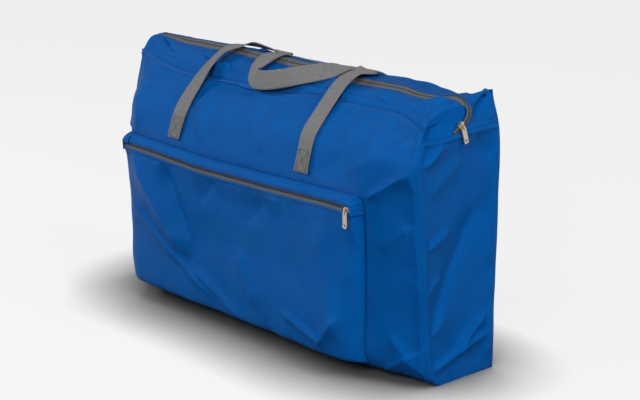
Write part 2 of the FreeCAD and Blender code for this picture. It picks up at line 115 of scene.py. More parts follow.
# %% [markdown]
# Curves are drawn with few points and a smooth rule between them.
# One rule is the clamped B-spline, which the stuffed panels use; the other passes
# through its points, which suits a seam whose height is known at a few places.

# %% Smooth rules
def spline_basis(count, t):
    """Weights of a clamped cubic B-spline with evenly spaced knots, for parameters t in 0..1."""
    degree = 3
    spans = count - degree
    knots = np.concatenate([np.zeros(degree), np.arange(spans + 1), np.full(degree, spans)])
    u = np.clip(np.asarray(t, float), 0, 1) * spans
    u = np.minimum(u, spans - 1e-9)
    basis = np.array([(knots[i] <= u) & (u < knots[i + 1]) for i in range(count + degree)], float)
    for k in range(1, degree + 1):
        rows = []
        for i in range(count + degree - k):
            left = knots[i + k] - knots[i]
            right = knots[i + k + 1] - knots[i + 1]
            a = (u - knots[i]) / left * basis[i] if left > 0 else 0 * u
            b = (knots[i + k + 1] - u) / right * basis[i + 1] if right > 0 else 0 * u
            rows.append(a + b)
        basis = np.array(rows)
    return basis


def through(points, at):
    """Smooth curve that passes through (place, value) points, with no overshoot."""
    xs = np.array([p[0] for p in points], float)
    ys = np.array([p[1] for p in points], float)
    slope = np.diff(ys) / np.diff(xs)
    tangent = np.zeros(len(xs))
    for i in range(1, len(xs) - 1):
        if slope[i - 1] * slope[i] > 0:
            tangent[i] = 2 * slope[i - 1] * slope[i] / (slope[i - 1] + slope[i])
    tangent[0], tangent[-1] = slope[0], slope[-1]
    at = np.clip(np.asarray(at, float), xs[0], xs[-1])
    i = np.clip(np.searchsorted(xs, at) - 1, 0, len(xs) - 2)
    h = xs[i + 1] - xs[i]
    t = (at - xs[i]) / h
    return ((2 * t**3 - 3 * t**2 + 1) * ys[i] + (t**3 - 2 * t**2 + t) * h * tangent[i]
            + (-2 * t**3 + 3 * t**2) * ys[i + 1] + (t**3 - t**2) * h * tangent[i + 1])


def smooth_path(points, steps):
    """Path through points with flowing turns; columns past the third go along with the first three."""
    points = np.array(points, float)
    chord = np.sqrt(np.linalg.norm(np.diff(points[:, :3], axis=0), axis=1))
    t = np.concatenate([[0], np.cumsum(chord)])
    slope = np.diff(points, axis=0) / chord[:, None]
    tangent = np.empty_like(points)
    tangent[0], tangent[-1] = slope[0], slope[-1]
    before, after = chord[:-1, None], chord[1:, None]
    tangent[1:-1] = (slope[:-1] * after + slope[1:] * before) / (after + before)
    at = np.linspace(0, t[-1], steps)
    i = np.clip(np.searchsorted(t, at, side="right") - 1, 0, len(t) - 2)
    h = chord[i][:, None]
    s = ((at - t[i]) / chord[i])[:, None]
    return ((2 * s**3 - 3 * s**2 + 1) * points[i] + (s**3 - 2 * s**2 + s) * h * tangent[i]
            + (-2 * s**3 + 3 * s**2) * points[i + 1] + (s**3 - s**2) * h * tangent[i + 1])


def ease(t):
    """0 to 1 with a soft start and a soft stop."""
    t = np.clip(t, 0, 1)
    return t * t * (3 - 2 * t)


def ripples(points, wavelength, seed, waves=14):
    """Smooth seeded noise, about -1 to 1, made of plane waves in random directions."""
    rng = np.random.default_rng(seed)
    total = np.zeros(len(points))
    for _ in range(waves):
        way = rng.normal(size=3)
        way /= np.linalg.norm(way)
        scale = wavelength * rng.uniform(0.7, 1.6)
        total += np.sin(points @ way * (2 * math.pi / scale) + rng.uniform(0, 2 * math.pi))
    return total / math.sqrt(waves)


def unit(rows):
    """Each row of an array, brought to length 1."""
    return rows / np.linalg.norm(rows, axis=1, keepdims=True)


print("an ease is", ease(0.25), "a quarter of the way")

# %% [markdown]
# A stuffed bag has seams that wander. Each wandering seam is one list of places and
# heights along the bag; all the cloth that meets at the seam reads the same list,
# so the pieces stay joined whatever the list says.

# %% Seams that wander
TOP_SEAM_SAG = [
    (-0.49, 0.01), (-0.455, 0.006), (-0.4, -0.002), (-0.263, -0.013), (-0.19, -0.012), (-0.067, -0.01),
    (0.023, -0.013), (0.147, 0.0), (0.292, -0.001), (0.4, 0.004), (0.482, 0.008), (0.49, 0.009)]
RIDGE_SAG = [
    (-0.49, 0.008), (-0.44, 0.005), (-0.357, 0.002), (-0.249, 0.002), (-0.156, 0.0), (-0.079, 0.001),
    (0.049, 0.001), (0.122, -0.003), (0.2, -0.009), (0.291, -0.008), (0.35, -0.013), (0.395, -0.011),
    (0.445, 0.0), (0.465, 0.0), (0.478, -0.003), (0.4845, -0.007), (0.49, -0.012)]
BACK_SEAM_SAG = [
    (-0.49, -0.002), (-0.44, -0.004), (-0.3, -0.002), (0.0, 0.002), (0.166, 0.003), (0.275, 0.003),
    (0.344, -0.002), (0.407, -0.01), (0.438, -0.004), (0.463, 0.011), (0.478, 0.021), (0.49, 0.024)]


def front_top(x):
    return FRONT_TOP + through(TOP_SEAM_SAG, x)


def back_top(x):
    return BACK_TOP + through(BACK_SEAM_SAG, x)


def ridge(x):
    return RIDGE + through(RIDGE_SAG, x)


print("top seam in the middle", round(float(front_top(0.0)), 3), "ridge", round(float(ridge(0.0)), 3))

# %% [markdown]
# Cloth is drawn as a grid of points. The grid gets a second coordinate set in metres
# along the cloth, so that the weave keeps its real size, and a thickness at the end.

# %% Grids of cloth
def placed(name, data):
    """New object in the scene that shows a mesh, a lamp or a camera."""
    thing = bpy.data.objects.new(name, data)
    bpy.context.scene.collection.objects.link(thing)
    return thing


def mesh_piece(name, points, faces, smooth=True):
    """Object with a mesh of these points and faces."""
    mesh = bpy.data.meshes.new(name)
    mesh.from_pydata(np.asarray(points).tolist(), [], np.asarray(faces).tolist())
    mesh.polygons.foreach_set("use_smooth", [smooth] * len(mesh.polygons))
    return placed(name, mesh)


def grid_mesh(name, points, rows, cols, uv):
    """Mesh of rows by cols points, with uv in metres."""
    index = np.arange(rows * cols).reshape(rows, cols)
    faces = np.stack([index[:-1, :-1], index[:-1, 1:], index[1:, 1:], index[1:, :-1]], -1).reshape(-1, 4)
    thing = mesh_piece(name, points, faces)
    loops = np.zeros(len(thing.data.loops), int)
    thing.data.loops.foreach_get("vertex_index", loops)
    layer = thing.data.uv_layers.new(name="weave")
    layer.data.foreach_set("uv", np.asarray(uv, float)[loops].ravel())
    return thing


def applied(thing):
    """Freeze a piece's modifiers into its mesh."""
    graph = bpy.context.evaluated_depsgraph_get()
    baked = bpy.data.meshes.new_from_object(thing.evaluated_get(graph))
    thing.modifiers.clear()
    thing.data = baked
    return thing


def thicken(thing, thickness, offset):
    """Give a grid of cloth its thickness; offset -1 keeps the drawn face outside."""
    solid = thing.modifiers.new("thickness", "SOLIDIFY")
    solid.thickness = thickness
    solid.offset = offset
    solid.use_even_offset = False
    return applied(thing)


def spread(rows, cols):
    """Two flat arrays that run 0..1 down the rows and along the columns of a grid."""
    v, u = np.meshgrid(np.linspace(0, 1, rows), np.linspace(0, 1, cols), indexing="ij")
    return u.ravel(), v.ravel()


print("a grid of 3 by 4 has", len(spread(3, 4)[0]), "points")

# %% [markdown]
# Every seam is sewn with thread thick enough to see: a dash of thread, then a gap where it
# dives under. One row of dashes is one mesh, drawn as small bars that follow a line.

# %% Rows of stitches
STITCH_PITCH = 0.0036


def stitches(name, line, outward, material, body, pitch=STITCH_PITCH, share=0.64, thick=0.00045):
    """Dashes of thread along a line that lies on the cloth; outward points off the cloth."""
    steps = np.linalg.norm(np.diff(line, axis=0), axis=1)
    s = np.concatenate([[0], np.cumsum(steps)])
    count = int(s[-1] / pitch)
    starts = (np.arange(count) + 0.18) * s[-1] / count
    ends = starts + share * s[-1] / count
    outward = np.broadcast_to(np.asarray(outward, float), line.shape)

    def at(values, places):
        return np.stack([np.interp(places, s, values[:, k]) for k in range(3)], -1)

    corners = []
    for places in (starts, ends):
        middle, out = at(line, places), at(outward, places)
        aside = np.cross(unit(at(line, ends) - at(line, starts)), out) * thick
        for a, b in ((-1, 0.2), (1, 0.2), (0.5, 1.3), (-0.5, 1.3)):
            corners.append(middle + aside * a + out * (thick * b))
    points = np.stack(corners, 1).reshape(-1, 3)
    cell = [(0, 1, 2, 3), (7, 6, 5, 4), (0, 4, 5, 1), (1, 5, 6, 2), (2, 6, 7, 3), (3, 7, 4, 0)]
    faces = [[8 * k + c for c in face] for k in range(count) for face in cell]
    thing = mesh_piece(name, points, faces, smooth=False)
    thing.data.materials.append(material)
    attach(thing, body)
    return thing


print("stitches", round(1 / STITCH_PITCH), "to the metre")

# %% [markdown]
# The big front and back are pulled tight over the load: flat in the middle, falling
# to the seams all round. A tensor product of two B-splines gives exactly that shape.
# The same few poles shape the solid underneath, so the cloth lies on it.

# %% The stuffed front and back
FULLNESS = [(0.0, 1.0), (0.70, 1.0), (0.76, 0.965), (0.825, 0.765), (0.90, 0.43), (1.0, 0.0)]
# Share of a panel's height, then its bulge at the left end, at the right end and in the middle.
FRONT_RISE = [
    (0.0, 0.0, 0.0, 0.0), (0.022, 0.06, 0.2, 0.5), (0.06, 0.1, 0.36, 0.97), (0.15, 0.12, 0.42, 1.0),
    (0.38, 0.12, 0.46, 1.0), (0.6, 0.1, 0.62, 1.0), (0.76, 0.08, 0.74, 1.0), (0.865, 0.06, 0.72, 0.97),
    (0.93, 0.04, 0.6, 0.6), (0.975, 0.02, 0.3, 0.22), (1.0, 0.0, 0.0, 0.0)]
BACK_RISE = [
    (0.0, 0.0, 0.0, 0.0), (0.04, 0.04, 0.04, 0.5), (0.12, 0.06, 0.06, 0.95), (0.3, 0.06, 0.06, 1.0),
    (0.6, 0.06, 0.06, 1.0), (0.8, 0.06, 0.1, 0.95), (0.93, 0.04, 0.12, 0.5), (1.0, 0.0, 0.0, 0.0)]


def stuffed(u, v, rise, bulge, side, top):
    """Points of a stuffed panel; u runs along the bag and v up it."""
    x = (2 * u - 1) * HALF_LENGTH
    full = through(FULLNESS, np.abs(2 * u - 1))
    up = spline_basis(len(rise), v)
    share, left, right, middle = (np.array([r[k] for r in rise]) @ up for k in range(4))
    end = np.where(x < 0, left, right)
    y = side * (HALF_BASE + bulge * (end + (middle - end) * full))
    return np.stack([x, y, share * top(x)], -1)


def front_base(u, v):
    return stuffed(u, v, FRONT_RISE, FRONT_BULGE, -1, front_top)


def back_base(u, v):
    return stuffed(u, v, BACK_RISE, BACK_BULGE, 1, back_top)


print("bulge of the front", round(FRONT_BULGE, 3), "and of the back", round(BACK_BULGE, 3))

# %% [markdown]
# Real cloth never lies dead flat. One field, of slow and quick waves and a few pulls,
# moves every piece of cloth a little, and because neighbours at a seam share their points, they move together.
# It fades out at the floor, so the bag still stands on its base.

# %% The slow wander of all the cloth
# Wavelength, random seeds and strength along X, Y and Z, of the slow waves and of the quick ones.
WAVES = (0.30, (11, 12, 13), (0.0012, 0.0032, 0.0010)), (0.085, (21, 22, 23), (0.0003, 0.0009, 0.0004))
# Where something pulls the bag about: a place, how far the pull is felt, and how far it moves cloth.
PULLS = [
    ((-HALF_LENGTH, -HALF_BASE, FRONT_TOP), (0.11, 0.075, 0.1), (0.004, 0.024, -0.002)),
    ((HALF_LENGTH, -HALF_BASE, FRONT_TOP), (0.09, 0.07, 0.045), (-0.002, -0.026, -0.013)),
    ((HALF_LENGTH, -0.07, 0.547), (0.06, 0.05, 0.028), (-0.018, -0.004, -0.01)),
    ((HALF_LENGTH, HALF_BASE, BACK_TOP + 0.02), (0.05, 0.05, 0.06), (-0.013, -0.008, -0.002)),
    ((HALF_LENGTH, -0.145, 0.445), (0.06, 0.05, 0.024), (0.0, -0.009, 0.0))]


def wander(points):
    """Move points by the pulls and by the bag's shared field of slow waves."""
    off_floor = ease(points[:, 2] / 0.06)[:, None]
    pulled = points
    for place, reach, move in PULLS:
        near = np.exp(-(((points - np.array(place)) / np.array(reach)) ** 2).sum(1))[:, None]
        pulled = pulled + near * np.array(move)
    slow, quick = (np.stack([ripples(pulled, length, seed) for seed in seeds], -1) * np.array(strength)
                   for length, seeds, strength in WAVES)
    return pulled + (slow + quick) * off_floor


print("pulls", len(PULLS))

# %% [markdown]
# A fold in stuffed cloth is a ridge or a valley between two places, steep on one side.
# Sculpting would draw it too, but a list of folds can be read, moved and switched off.

# %% Folds, seams and gathers
CRISP = 1.35                  # 2 is a soft fold, 1 a sharp one
FOLD_GAIN = 1.7               # all folds are made this much higher than their lists say
FAR_SIDE = 1.9                # a fold's far side is this much wider than its near side
WELT_HEIGHT, WELT_PLACE, WELT_WIDTH = 0.0046, 0.007, 0.0052


def fold_field(a, b, folds):
    """Height of listed folds at flat coordinates a, b.

    A fold is start, end, half width, height; its near side is steeper than its far side.
    """
    height = np.zeros(len(a))
    for (a0, b0), (a1, b1), width, tall in folds:
        run = np.array([a1 - a0, b1 - b0])
        length = np.hypot(*run)
        way = run / length
        along = ((a - a0) * way[0] + (b - b0) * way[1]) / length
        off = -(a - a0) * way[1] + (b - b0) * way[0]
        swell = 0.55 + 0.45 * np.sin(math.pi * np.clip(along, 0, 1))
        width_here = np.where(off > 0, width, FAR_SIDE * width) * swell
        taper = ease(along / 0.25) * ease((1 - along) / 0.25)
        height += FOLD_GAIN * tall * np.exp(-np.abs(off / width_here) ** CRISP) * taper
    return height


def welt(distance):
    """Cloth swells beside a seam, because the thread holds it down only at the seam itself."""
    return WELT_HEIGHT * np.exp(-((distance - WELT_PLACE) / WELT_WIDTH) ** 2)


def border_fade(u, v, reach_u, reach_v):
    """0 at a grid's border, 1 inside."""
    return (ease(u / reach_u) * ease((1 - u) / reach_u) * ease(v / reach_v) * ease((1 - v) / reach_v))


def seam_puckers(points, distance, amount, pitch, seed, reach=0.055):
    """Small gathers that run square to a seam and die out within reach of it."""
    wave = ripples(points * np.array([1.0, 0.25, 0.25]), pitch, seed, 10)
    return amount * wave * np.exp(-(distance / reach) ** 2) * ease(distance / 0.012)


print("a seam swells by", round(1000 * float(welt(WELT_PLACE)), 1), "mm beside it")

# %% [markdown]
# One helper turns any grid into finished cloth. Measuring along the cloth, and not
# along the axes, is what keeps the weave from stretching on a slope.

# %% A finished piece of cloth
def metre_uv(points, rows, cols):
    """Distances along the cloth in both directions, measured from the grid's middle."""
    grid = points.reshape(rows, cols, 3)
    steps_u = np.linalg.norm(np.diff(grid, axis=1), axis=2)
    steps_v = np.linalg.norm(np.diff(grid, axis=0), axis=2)
    u = np.concatenate([np.zeros((rows, 1)), np.cumsum(steps_u, 1)], 1)
    v = np.concatenate([np.zeros((1, cols)), np.cumsum(steps_v, 0)], 0)
    u -= u[:, cols // 2][:, None]
    v -= v[rows // 2, :][None, :]
    return np.stack([u, v], -1).reshape(-1, 2)


def cloth(name, points, rows, cols, material, body=None, nodes=(), flip=False, thickness=None, offset=-1):
    """One finished piece of cloth: grid, thickness, finish, body and the solids it stands for."""
    uv = metre_uv(points, rows, cols)
    thing = grid_mesh(name, points, rows, cols, uv)
    if flip:
        thing.data.flip_normals()
    thicken(thing, thickness or CLOTH, offset)
    thing.data.materials.clear()
    thing.data.materials.append(material)
    if body:
        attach(thing, body)
    if nodes:
        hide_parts(*nodes)
    return thing


print("cloth", round(1000 * CLOTH, 1), "mm thick")

# %% [markdown]
# The bag is woven polyester, the stuff of rucksacks: bundles of thread about a millimetre
# apart, dyed blue. A picture of cloth would give a weave too, but here it is worked out
# from the metre coordinates, so it has its real size on every piece.

# %% Material helpers
def new_material(name):
    material = bpy.data.materials.new(name)
    material.use_nodes = True
    tree = material.node_tree
    shader = tree.nodes["Principled BSDF"]
    return material, tree, shader


def add(tree, kind, **settings):
    """A node with its settings and constant inputs; an input is named, or numbered as in_0."""
    node = tree.nodes.new(kind)
    for key, value in settings.items():
        if key.startswith("in_"):
            which = key[3:]
            node.inputs[int(which) if which.isdigit() else which].default_value = value
        else:
            setattr(node, key, value)
    return node


def link(tree, start, end):
    tree.links.new(start, end)


def put(node, **values):
    """Set constants on a node's own sockets; an underscore stands for a space."""
    for socket, value in values.items():
        node.inputs[socket.replace("_", " ")].default_value = value


def srgb(red, green, blue):
    """Linear colour from the 0..255 values of a swatch."""
    def one(c):
        c /= 255
        return c / 12.92 if c <= 0.04045 else ((c + 0.055) / 1.055) ** 2.4
    return (one(red), one(green), one(blue), 1.0)


def math_node(tree, operation, a, b=None):
    """Output of a maths node whose inputs are numbers or other outputs."""
    node = add(tree, "ShaderNodeMath", operation=operation)
    for socket, value in zip(node.inputs, (a, b)):
        if value is None:
            continue
        if isinstance(value, (int, float)):
            socket.default_value = value
        else:
            link(tree, value, socket)
    return node.outputs[0]


def weave_height(tree, pitch_u, pitch_v):
    """Over-and-under height of a plain weave, 0..1, from the metre coordinates."""
    uv = add(tree, "ShaderNodeUVMap", uv_map="weave")
    parts = add(tree, "ShaderNodeSeparateXYZ")
    link(tree, uv.outputs[0], parts.inputs[0])
    u = math_node(tree, "MULTIPLY", parts.outputs[0], math.pi / pitch_u)
    v = math_node(tree, "MULTIPLY", parts.outputs[1], math.pi / pitch_v)
    crossing = math_node(tree, "MULTIPLY", math_node(tree, "SINE", u), math_node(tree, "SINE", v))
    return math_node(tree, "MULTIPLY_ADD", crossing, 0.5)


def weave_material(name, colour, deep, pitch_u, pitch_v, roughness, bump, sheen, sheen_tint, mottle,
                   glint=(1.0, 1.0, 1.0, 1.0)):
    """Woven stuff: two tones of thread, slow uneven dye, a woven bump and a dusty sheen."""
    material, tree, shader = new_material(name)
    height = weave_height(tree, pitch_u, pitch_v)
    where = add(tree, "ShaderNodeTexCoord")
    blotch = add(tree, "ShaderNodeTexNoise", in_Scale=14.0, in_Detail=5.0)
    link(tree, where.outputs["Object"], blotch.inputs["Vector"])
    threads = add(tree, "ShaderNodeTexNoise", in_Scale=420.0, in_Detail=3.0, in_Roughness=0.7)
    link(tree, where.outputs["Object"], threads.inputs["Vector"])
    tone = math_node(tree, "MULTIPLY", height, 0.4)
    tone = math_node(tree, "ADD", tone, math_node(tree, "MULTIPLY", threads.outputs["Fac"], 1.6))
    tone = math_node(tree, "SUBTRACT", tone, 0.5)
    ramp = add(tree, "ShaderNodeMix", data_type="RGBA")
    put(ramp, A=deep, B=colour)
    link(tree, tone, ramp.inputs["Factor"])
    uneven = add(tree, "ShaderNodeHueSaturation")
    value = math_node(tree, "MULTIPLY_ADD", blotch.outputs["Fac"], mottle)
    value.node.inputs[2].default_value = 1.0 - mottle / 2
    link(tree, value, uneven.inputs["Value"])
    link(tree, ramp.outputs["Result"], uneven.inputs["Color"])
    link(tree, uneven.outputs["Color"], shader.inputs["Base Color"])
    put(shader, Roughness=roughness, Sheen_Weight=sheen, Sheen_Roughness=0.45, Sheen_Tint=sheen_tint,
        Specular_IOR_Level=0.08, Specular_Tint=glint)
    relief = add(tree, "ShaderNodeBump", in_Strength=bump, in_Distance=0.0005)
    link(tree, math_node(tree, "ADD", height, threads.outputs["Fac"]), relief.inputs["Height"])
    link(tree, relief.outputs[0], shader.inputs["Normal"])
    return material


print("a swatch of 128 is", round(srgb(128, 128, 128)[0], 3), "in linear light")

# %% [markdown]
# Cloth, webbing, zip tape and binding are the same idea with other threads and dyes.
# The zip's coil is moulded nylon and the thread is fine, so a plain finish is enough there.

# %% Woven finishes
CLOTH_BLUE = weave_material("woven blue polyester", srgb(1, 90, 165), srgb(0, 56, 118), 0.0012, 0.0012,
                            0.45, 1.15, 0.0, srgb(0, 110, 220), 0.26, glint=(0.25, 0.60, 1.0, 1.0))
WEBBING_GREY = weave_material("grey webbing", srgb(126, 126, 126), srgb(72, 72, 73), 0.0022, 0.0013,
                              0.78, 1.0, 0.15, srgb(190, 190, 192), 0.12)
TAPE_GREY = weave_material("grey zip tape", srgb(100, 98, 95), srgb(66, 65, 64), 0.0009, 0.0009,
                           0.85, 0.5, 0.1, srgb(170, 170, 170), 0.10)
BINDING_BLUE = weave_material("blue binding", srgb(2, 80, 150), srgb(0, 52, 112), 0.0012, 0.0007,
                              0.75, 0.6, 0.2, srgb(10, 90, 190), 0.10)
SLOTS = {
    "woven blue polyester": "cloth_blue", "grey webbing": "webbing_grey",
    "grey zip tape": "zip_tape_grey", "blue binding": "binding_blue", "nylon coil": "zip_coil_grey",
    "blue thread": "cloth_blue", "grey thread": "webbing_grey", "worn nickel": "pull_metal"}


def plain(name, colour, roughness, sheen=0.0):
    """Finish with no texture, for pieces too fine to show one."""
    material, _, shader = new_material(name)
    put(shader, Base_Color=colour, Roughness=roughness, Sheen_Weight=sheen)
    return material


COIL_GREY = plain("nylon coil", srgb(62, 62, 62), 0.45)
THREAD_BLUE = plain("blue thread", srgb(0, 44, 100), 0.6, sheen=0.2)
THREAD_GREY = plain("grey thread", srgb(58, 58, 60), 0.7, sheen=0.2)
print("finishes", len(bpy.data.materials))

# %% [markdown]
# The front is one width of cloth from floor to top seam. Two kinds of folds show the
# load inside: long soft ones that run to a corner where something pulls, and short
# gathers square to each seam, because the thread shortens the cloth there.

# %% Front and back panels
FRONT_FOLDS = [
    ((-0.21, 0.5065), (-0.01, 0.5035), 0.0045, -0.0075), ((0.378, 0.372), (0.488, 0.443), 0.008, 0.0075),
    ((0.32, 0.404), (0.482, 0.515), 0.015, 0.0055), ((0.4, 0.275), (0.48, 0.335), 0.009, 0.004),
    ((0.42, 0.11), (0.488, 0.02), 0.01, 0.0045), ((0.395, 0.018), (0.484, 0.078), 0.007, 0.0055),
    ((-0.486, 0.41), (-0.4, 0.372), 0.008, 0.005), ((-0.155, 0.505), (-0.105, 0.385), 0.011, 0.005),
    ((-0.36, 0.5), (-0.34, 0.385), 0.014, 0.004), ((-0.44, 0.5), (-0.2, 0.515), 0.01, -0.0045),
    ((-0.24, 0.47), (-0.16, 0.525), 0.008, 0.005), ((-0.02, 0.47), (0.12, 0.5), 0.012, 0.004),
    ((0.395, 0.47), (0.465, 0.52), 0.006, -0.005), ((0.06, 0.4), (0.1, 0.5), 0.016, 0.0035),
    ((0.24, 0.39), (0.36, 0.49), 0.014, -0.003)]
BACK_FOLDS = [
    ((-0.4, 0.42), (-0.2, 0.5), 0.014, 0.0035), ((0.38, 0.4), (0.48, 0.53), 0.01, 0.0045),
    ((-0.47, 0.08), (-0.33, 0.03), 0.012, 0.0035), ((0.2, 0.46), (0.02, 0.5), 0.012, 0.003)]


def pocket_draw(x, z):
    """The full pocket draws the front out along its lid's seam."""
    along = ease((POCKET_HALF + 0.03 - np.abs(x)) / 0.06)
    return 0.012 * along * np.exp(-((z - POCKET_SEAM) / 0.034) ** 2)


def panel_lift(x, z, top, folds):
    """How far folds and gathers lift a big panel's cloth at a place of it."""
    points = np.stack([x, 0 * x, z], -1)
    lift = fold_field(x, z, folds) + (pocket_draw(x, z) if folds is FRONT_FOLDS else 0)
    lift += seam_puckers(points, top(x) - z, 0.0022, 0.050, 31)
    lift += seam_puckers(points[:, [2, 1, 0]], HALF_LENGTH - np.abs(x), 0.0014, 0.060, 32, 0.04)
    lift += seam_puckers(points, z, 0.0012, 0.045, 33, 0.03)
    lift += welt(top(x) - z) + welt(HALF_LENGTH - np.abs(x))
    edge = ease((HALF_LENGTH - np.abs(x)) / 0.010) * ease(z / 0.015) * ease((top(x) - z) / 0.008)
    return lift * edge


def big_panel(base, top, folds, rows, cols):
    """Grid of the whole front or back."""
    points = base(*spread(rows, cols))
    way = -1 if base is front_base else 1
    points[:, 1] += way * panel_lift(points[:, 0], points[:, 2], top, folds)
    return wander(points)


def surface_y(base, top, rise, folds, x, z):
    """Depth of a big panel's cloth at given places, before the shared wander."""
    t = np.linspace(0, 1, 400)
    u = (x / HALF_LENGTH + 1) / 2
    share = np.array([r[0] for r in rise]) @ spline_basis(len(rise), t)
    v = np.interp(z / top(x), share, t)
    way = -1 if base is front_base else 1
    return base(u, v)[:, 1] + way * panel_lift(x, z, top, folds)


def front_y(x, z):
    return surface_y(front_base, front_top, FRONT_RISE, FRONT_FOLDS, x, z)


def back_y(x, z):
    return surface_y(back_base, back_top, BACK_RISE, BACK_FOLDS, x, z)


PANEL_ROWS, PANEL_COLS = 190, 300
front = cloth("front_cloth", big_panel(front_base, front_top, FRONT_FOLDS, PANEL_ROWS, PANEL_COLS),
              PANEL_ROWS, PANEL_COLS, CLOTH_BLUE, "bag", ["front_panel"])
back = cloth("back_cloth", big_panel(back_base, back_top, BACK_FOLDS, PANEL_ROWS, PANEL_COLS),
             PANEL_ROWS, PANEL_COLS, CLOTH_BLUE, "bag", ["back_panel"], flip=True)
print("front panel", PANEL_ROWS * PANEL_COLS, "points")

# %% [markdown]
# Each end is a flat piece between the front and back seams. With nothing stiff behind
# it, it dishes in and creases low down, where the load has settled away from it.

# %% End panels
def edge_curve(base, side_u, levels):
    """Points of a panel's end seam at given heights."""
    v = np.linspace(0, 1, 600)
    line = base(np.full(len(v), side_u), v)
    return np.stack([np.interp(levels, line[:, 2], line[:, k]) for k in range(3)], -1)


END_FOLDS = [
    ((0.04, 0.36), (-0.105, 0.095), 0.02, -0.0075), ((-0.118, 0.28), (-0.04, 0.315), 0.007, 0.0045),
    ((-0.118, 0.185), (-0.06, 0.225), 0.007, 0.004), ((0.072, 0.145), (0.058, 0.015), 0.006, 0.0065),
    ((0.06, 0.125), (-0.03, 0.05), 0.008, 0.0065), ((-0.11, 0.03), (0.07, 0.085), 0.007, 0.0065),
    ((-0.1, 0.1), (-0.05, 0.15), 0.009, 0.004), ((0.07, 0.2), (0.045, 0.33), 0.012, 0.0045),
    ((-0.13, 0.44), (-0.06, 0.495), 0.008, 0.006), ((0.06, 0.43), (0.01, 0.49), 0.012, -0.004),
    ((-0.12, 0.38), (-0.02, 0.45), 0.014, 0.0035)]
END_ROWS, END_COLS = 130, 60


def end_lift(side, y, z):
    """How far an end panel's cloth stands out of its flat plane at a place of it."""
    u_edge = 1.0 if side > 0 else 0.0
    levels = np.linspace(0, END_SEAM, 80)
    fore = np.interp(z, levels, edge_curve(front_base, u_edge, levels)[:, 1])
    aft = np.interp(z, levels, edge_curve(back_base, u_edge, levels)[:, 1])
    w, v = (y - fore) / (aft - fore), z / END_SEAM
    fade = border_fade(w, v, 0.12, 0.05)
    dish = -0.006 * np.sin(math.pi * np.clip(w, 0, 1)) * ease(v / 0.1) * ease((1 - v) / 0.1)
    folds = fold_field(y if side > 0 else -0.8 * y, z, END_FOLDS)
    points = np.stack([0 * y, y, z], -1)
    seams = welt(y - fore) + welt(aft - y) + welt(END_SEAM - z)
    seams = seams * ease((y - fore) / 0.01) * ease((aft - y) / 0.01)
    flat_top = 1.0 if side > 0 else ease((0.42 - z) / 0.05)    # room for the front flap folded in
    return (flat_top * (dish + fade * (folds + 0.0025 * ripples(points, 0.16, 40 + side)))
            + seams * ease(z / 0.03) * ease((END_SEAM - z) / 0.008))


def end_grid(side):
    """Grid of an end panel from the floor to its seam with the zip strip."""
    levels = np.linspace(0, END_SEAM, END_ROWS)
    u_edge = 1.0 if side > 0 else 0.0
    fore = edge_curve(front_base, u_edge, levels)
    aft = edge_curve(back_base, u_edge, levels)
    w = np.linspace(0, 1, END_COLS)[None, :, None]
    points = (fore[:, None] * (1 - w) + aft[:, None] * w).reshape(-1, 3)
    points[:, 0] += side * end_lift(side, points[:, 1], points[:, 2])
    return wander(points)


for side, name in ENDS:
    cloth(f"{name}_end_cloth", end_grid(side), END_ROWS, END_COLS, CLOTH_BLUE, "bag", [f"{name}_end_panel"],
          flip=side < 0)
print("end panels", 2)

# %% [markdown]
# The base is hidden, but it is there when the bag is tipped up. It lies flat, because
# the whole load stands on it.

# %% Base panel
BASE_ROWS, BASE_COLS = 12, 90
u, v = spread(BASE_ROWS, BASE_COLS)
base_points = np.stack([(2 * u - 1) * HALF_LENGTH, (2 * v - 1) * HALF_BASE, 0 * u], -1)
cloth("base_cloth", base_points, BASE_ROWS, BASE_COLS, CLOTH_BLUE, "bag", ["base_panel"], flip=True)
print("base", round(4 * HALF_LENGTH * HALF_BASE, 3), "square metres")

# %% [markdown]
# The top is a strip of cloth on each side of the zip. Unzipped, each strip folds back
# about its seam. Here each strip is one fixed mesh, drawn zipped.

# %% Top strips and the strip's turned-down ends
TOP_ROWS, TOP_COLS = 44, 300


def tape_shown(x):
    """How far from the zip's middle the strips are turned in over the tapes."""
    return 0.0121 - 0.0040 * ease((x - 0.10) / 0.30) - 0.0030 * ease((np.abs(x) - 0.45) / 0.03)


STRIP_HALF = strip_high.x
TOP_FOLDS = [
    ((-0.3, 0.035), (-0.12, 0.06), 0.007, -0.0045), ((-0.22, 0.074), (-0.155, 0.05), 0.006, 0.0055),
    ((0.25, 0.03), (0.42, 0.06), 0.009, 0.0045), ((0.38, 0.075), (0.47, 0.02), 0.008, 0.005),
    ((-0.46, 0.02), (-0.36, 0.06), 0.007, -0.0045), ((0.05, 0.055), (0.2, 0.03), 0.008, 0.004),
    ((0.3, 0.062), (0.4, 0.05), 0.005, -0.004), ((-0.05, 0.03), (0.04, 0.055), 0.008, -0.0035)]


ZIP_LEAN = math.radians(24)   # the zip settles towards the front, so it shows its face


def lean_at(x):
    """Lean of the main zip, which stands level again at both ends."""
    return ZIP_LEAN * ease((HALF_LENGTH - 0.006 - np.abs(x)) / 0.12)


def top_height(x, y):
    """Height of the zipped top over any place of the bag, seams and zip included."""
    seam = np.where(y < 0, front_top(x), back_top(x))
    share = np.clip((HALF_BASE - np.abs(y)) / (HALF_BASE - TAPE_OUTER), 0, 1)
    crown = np.where(y < 0, 0.013, 0.004) * np.sin(math.pi * share) * (1 - 0.3 * share)
    over_tape = 0.0012 * ease((TAPE_OUTER + 0.003 - np.abs(y)) / 0.004)
    tape_edge = ridge(x) + np.sign(y) * np.minimum(np.abs(y), TAPE_OUTER) * np.sin(lean_at(x)) + over_tape
    return seam * (1 - share) + tape_edge * share + crown


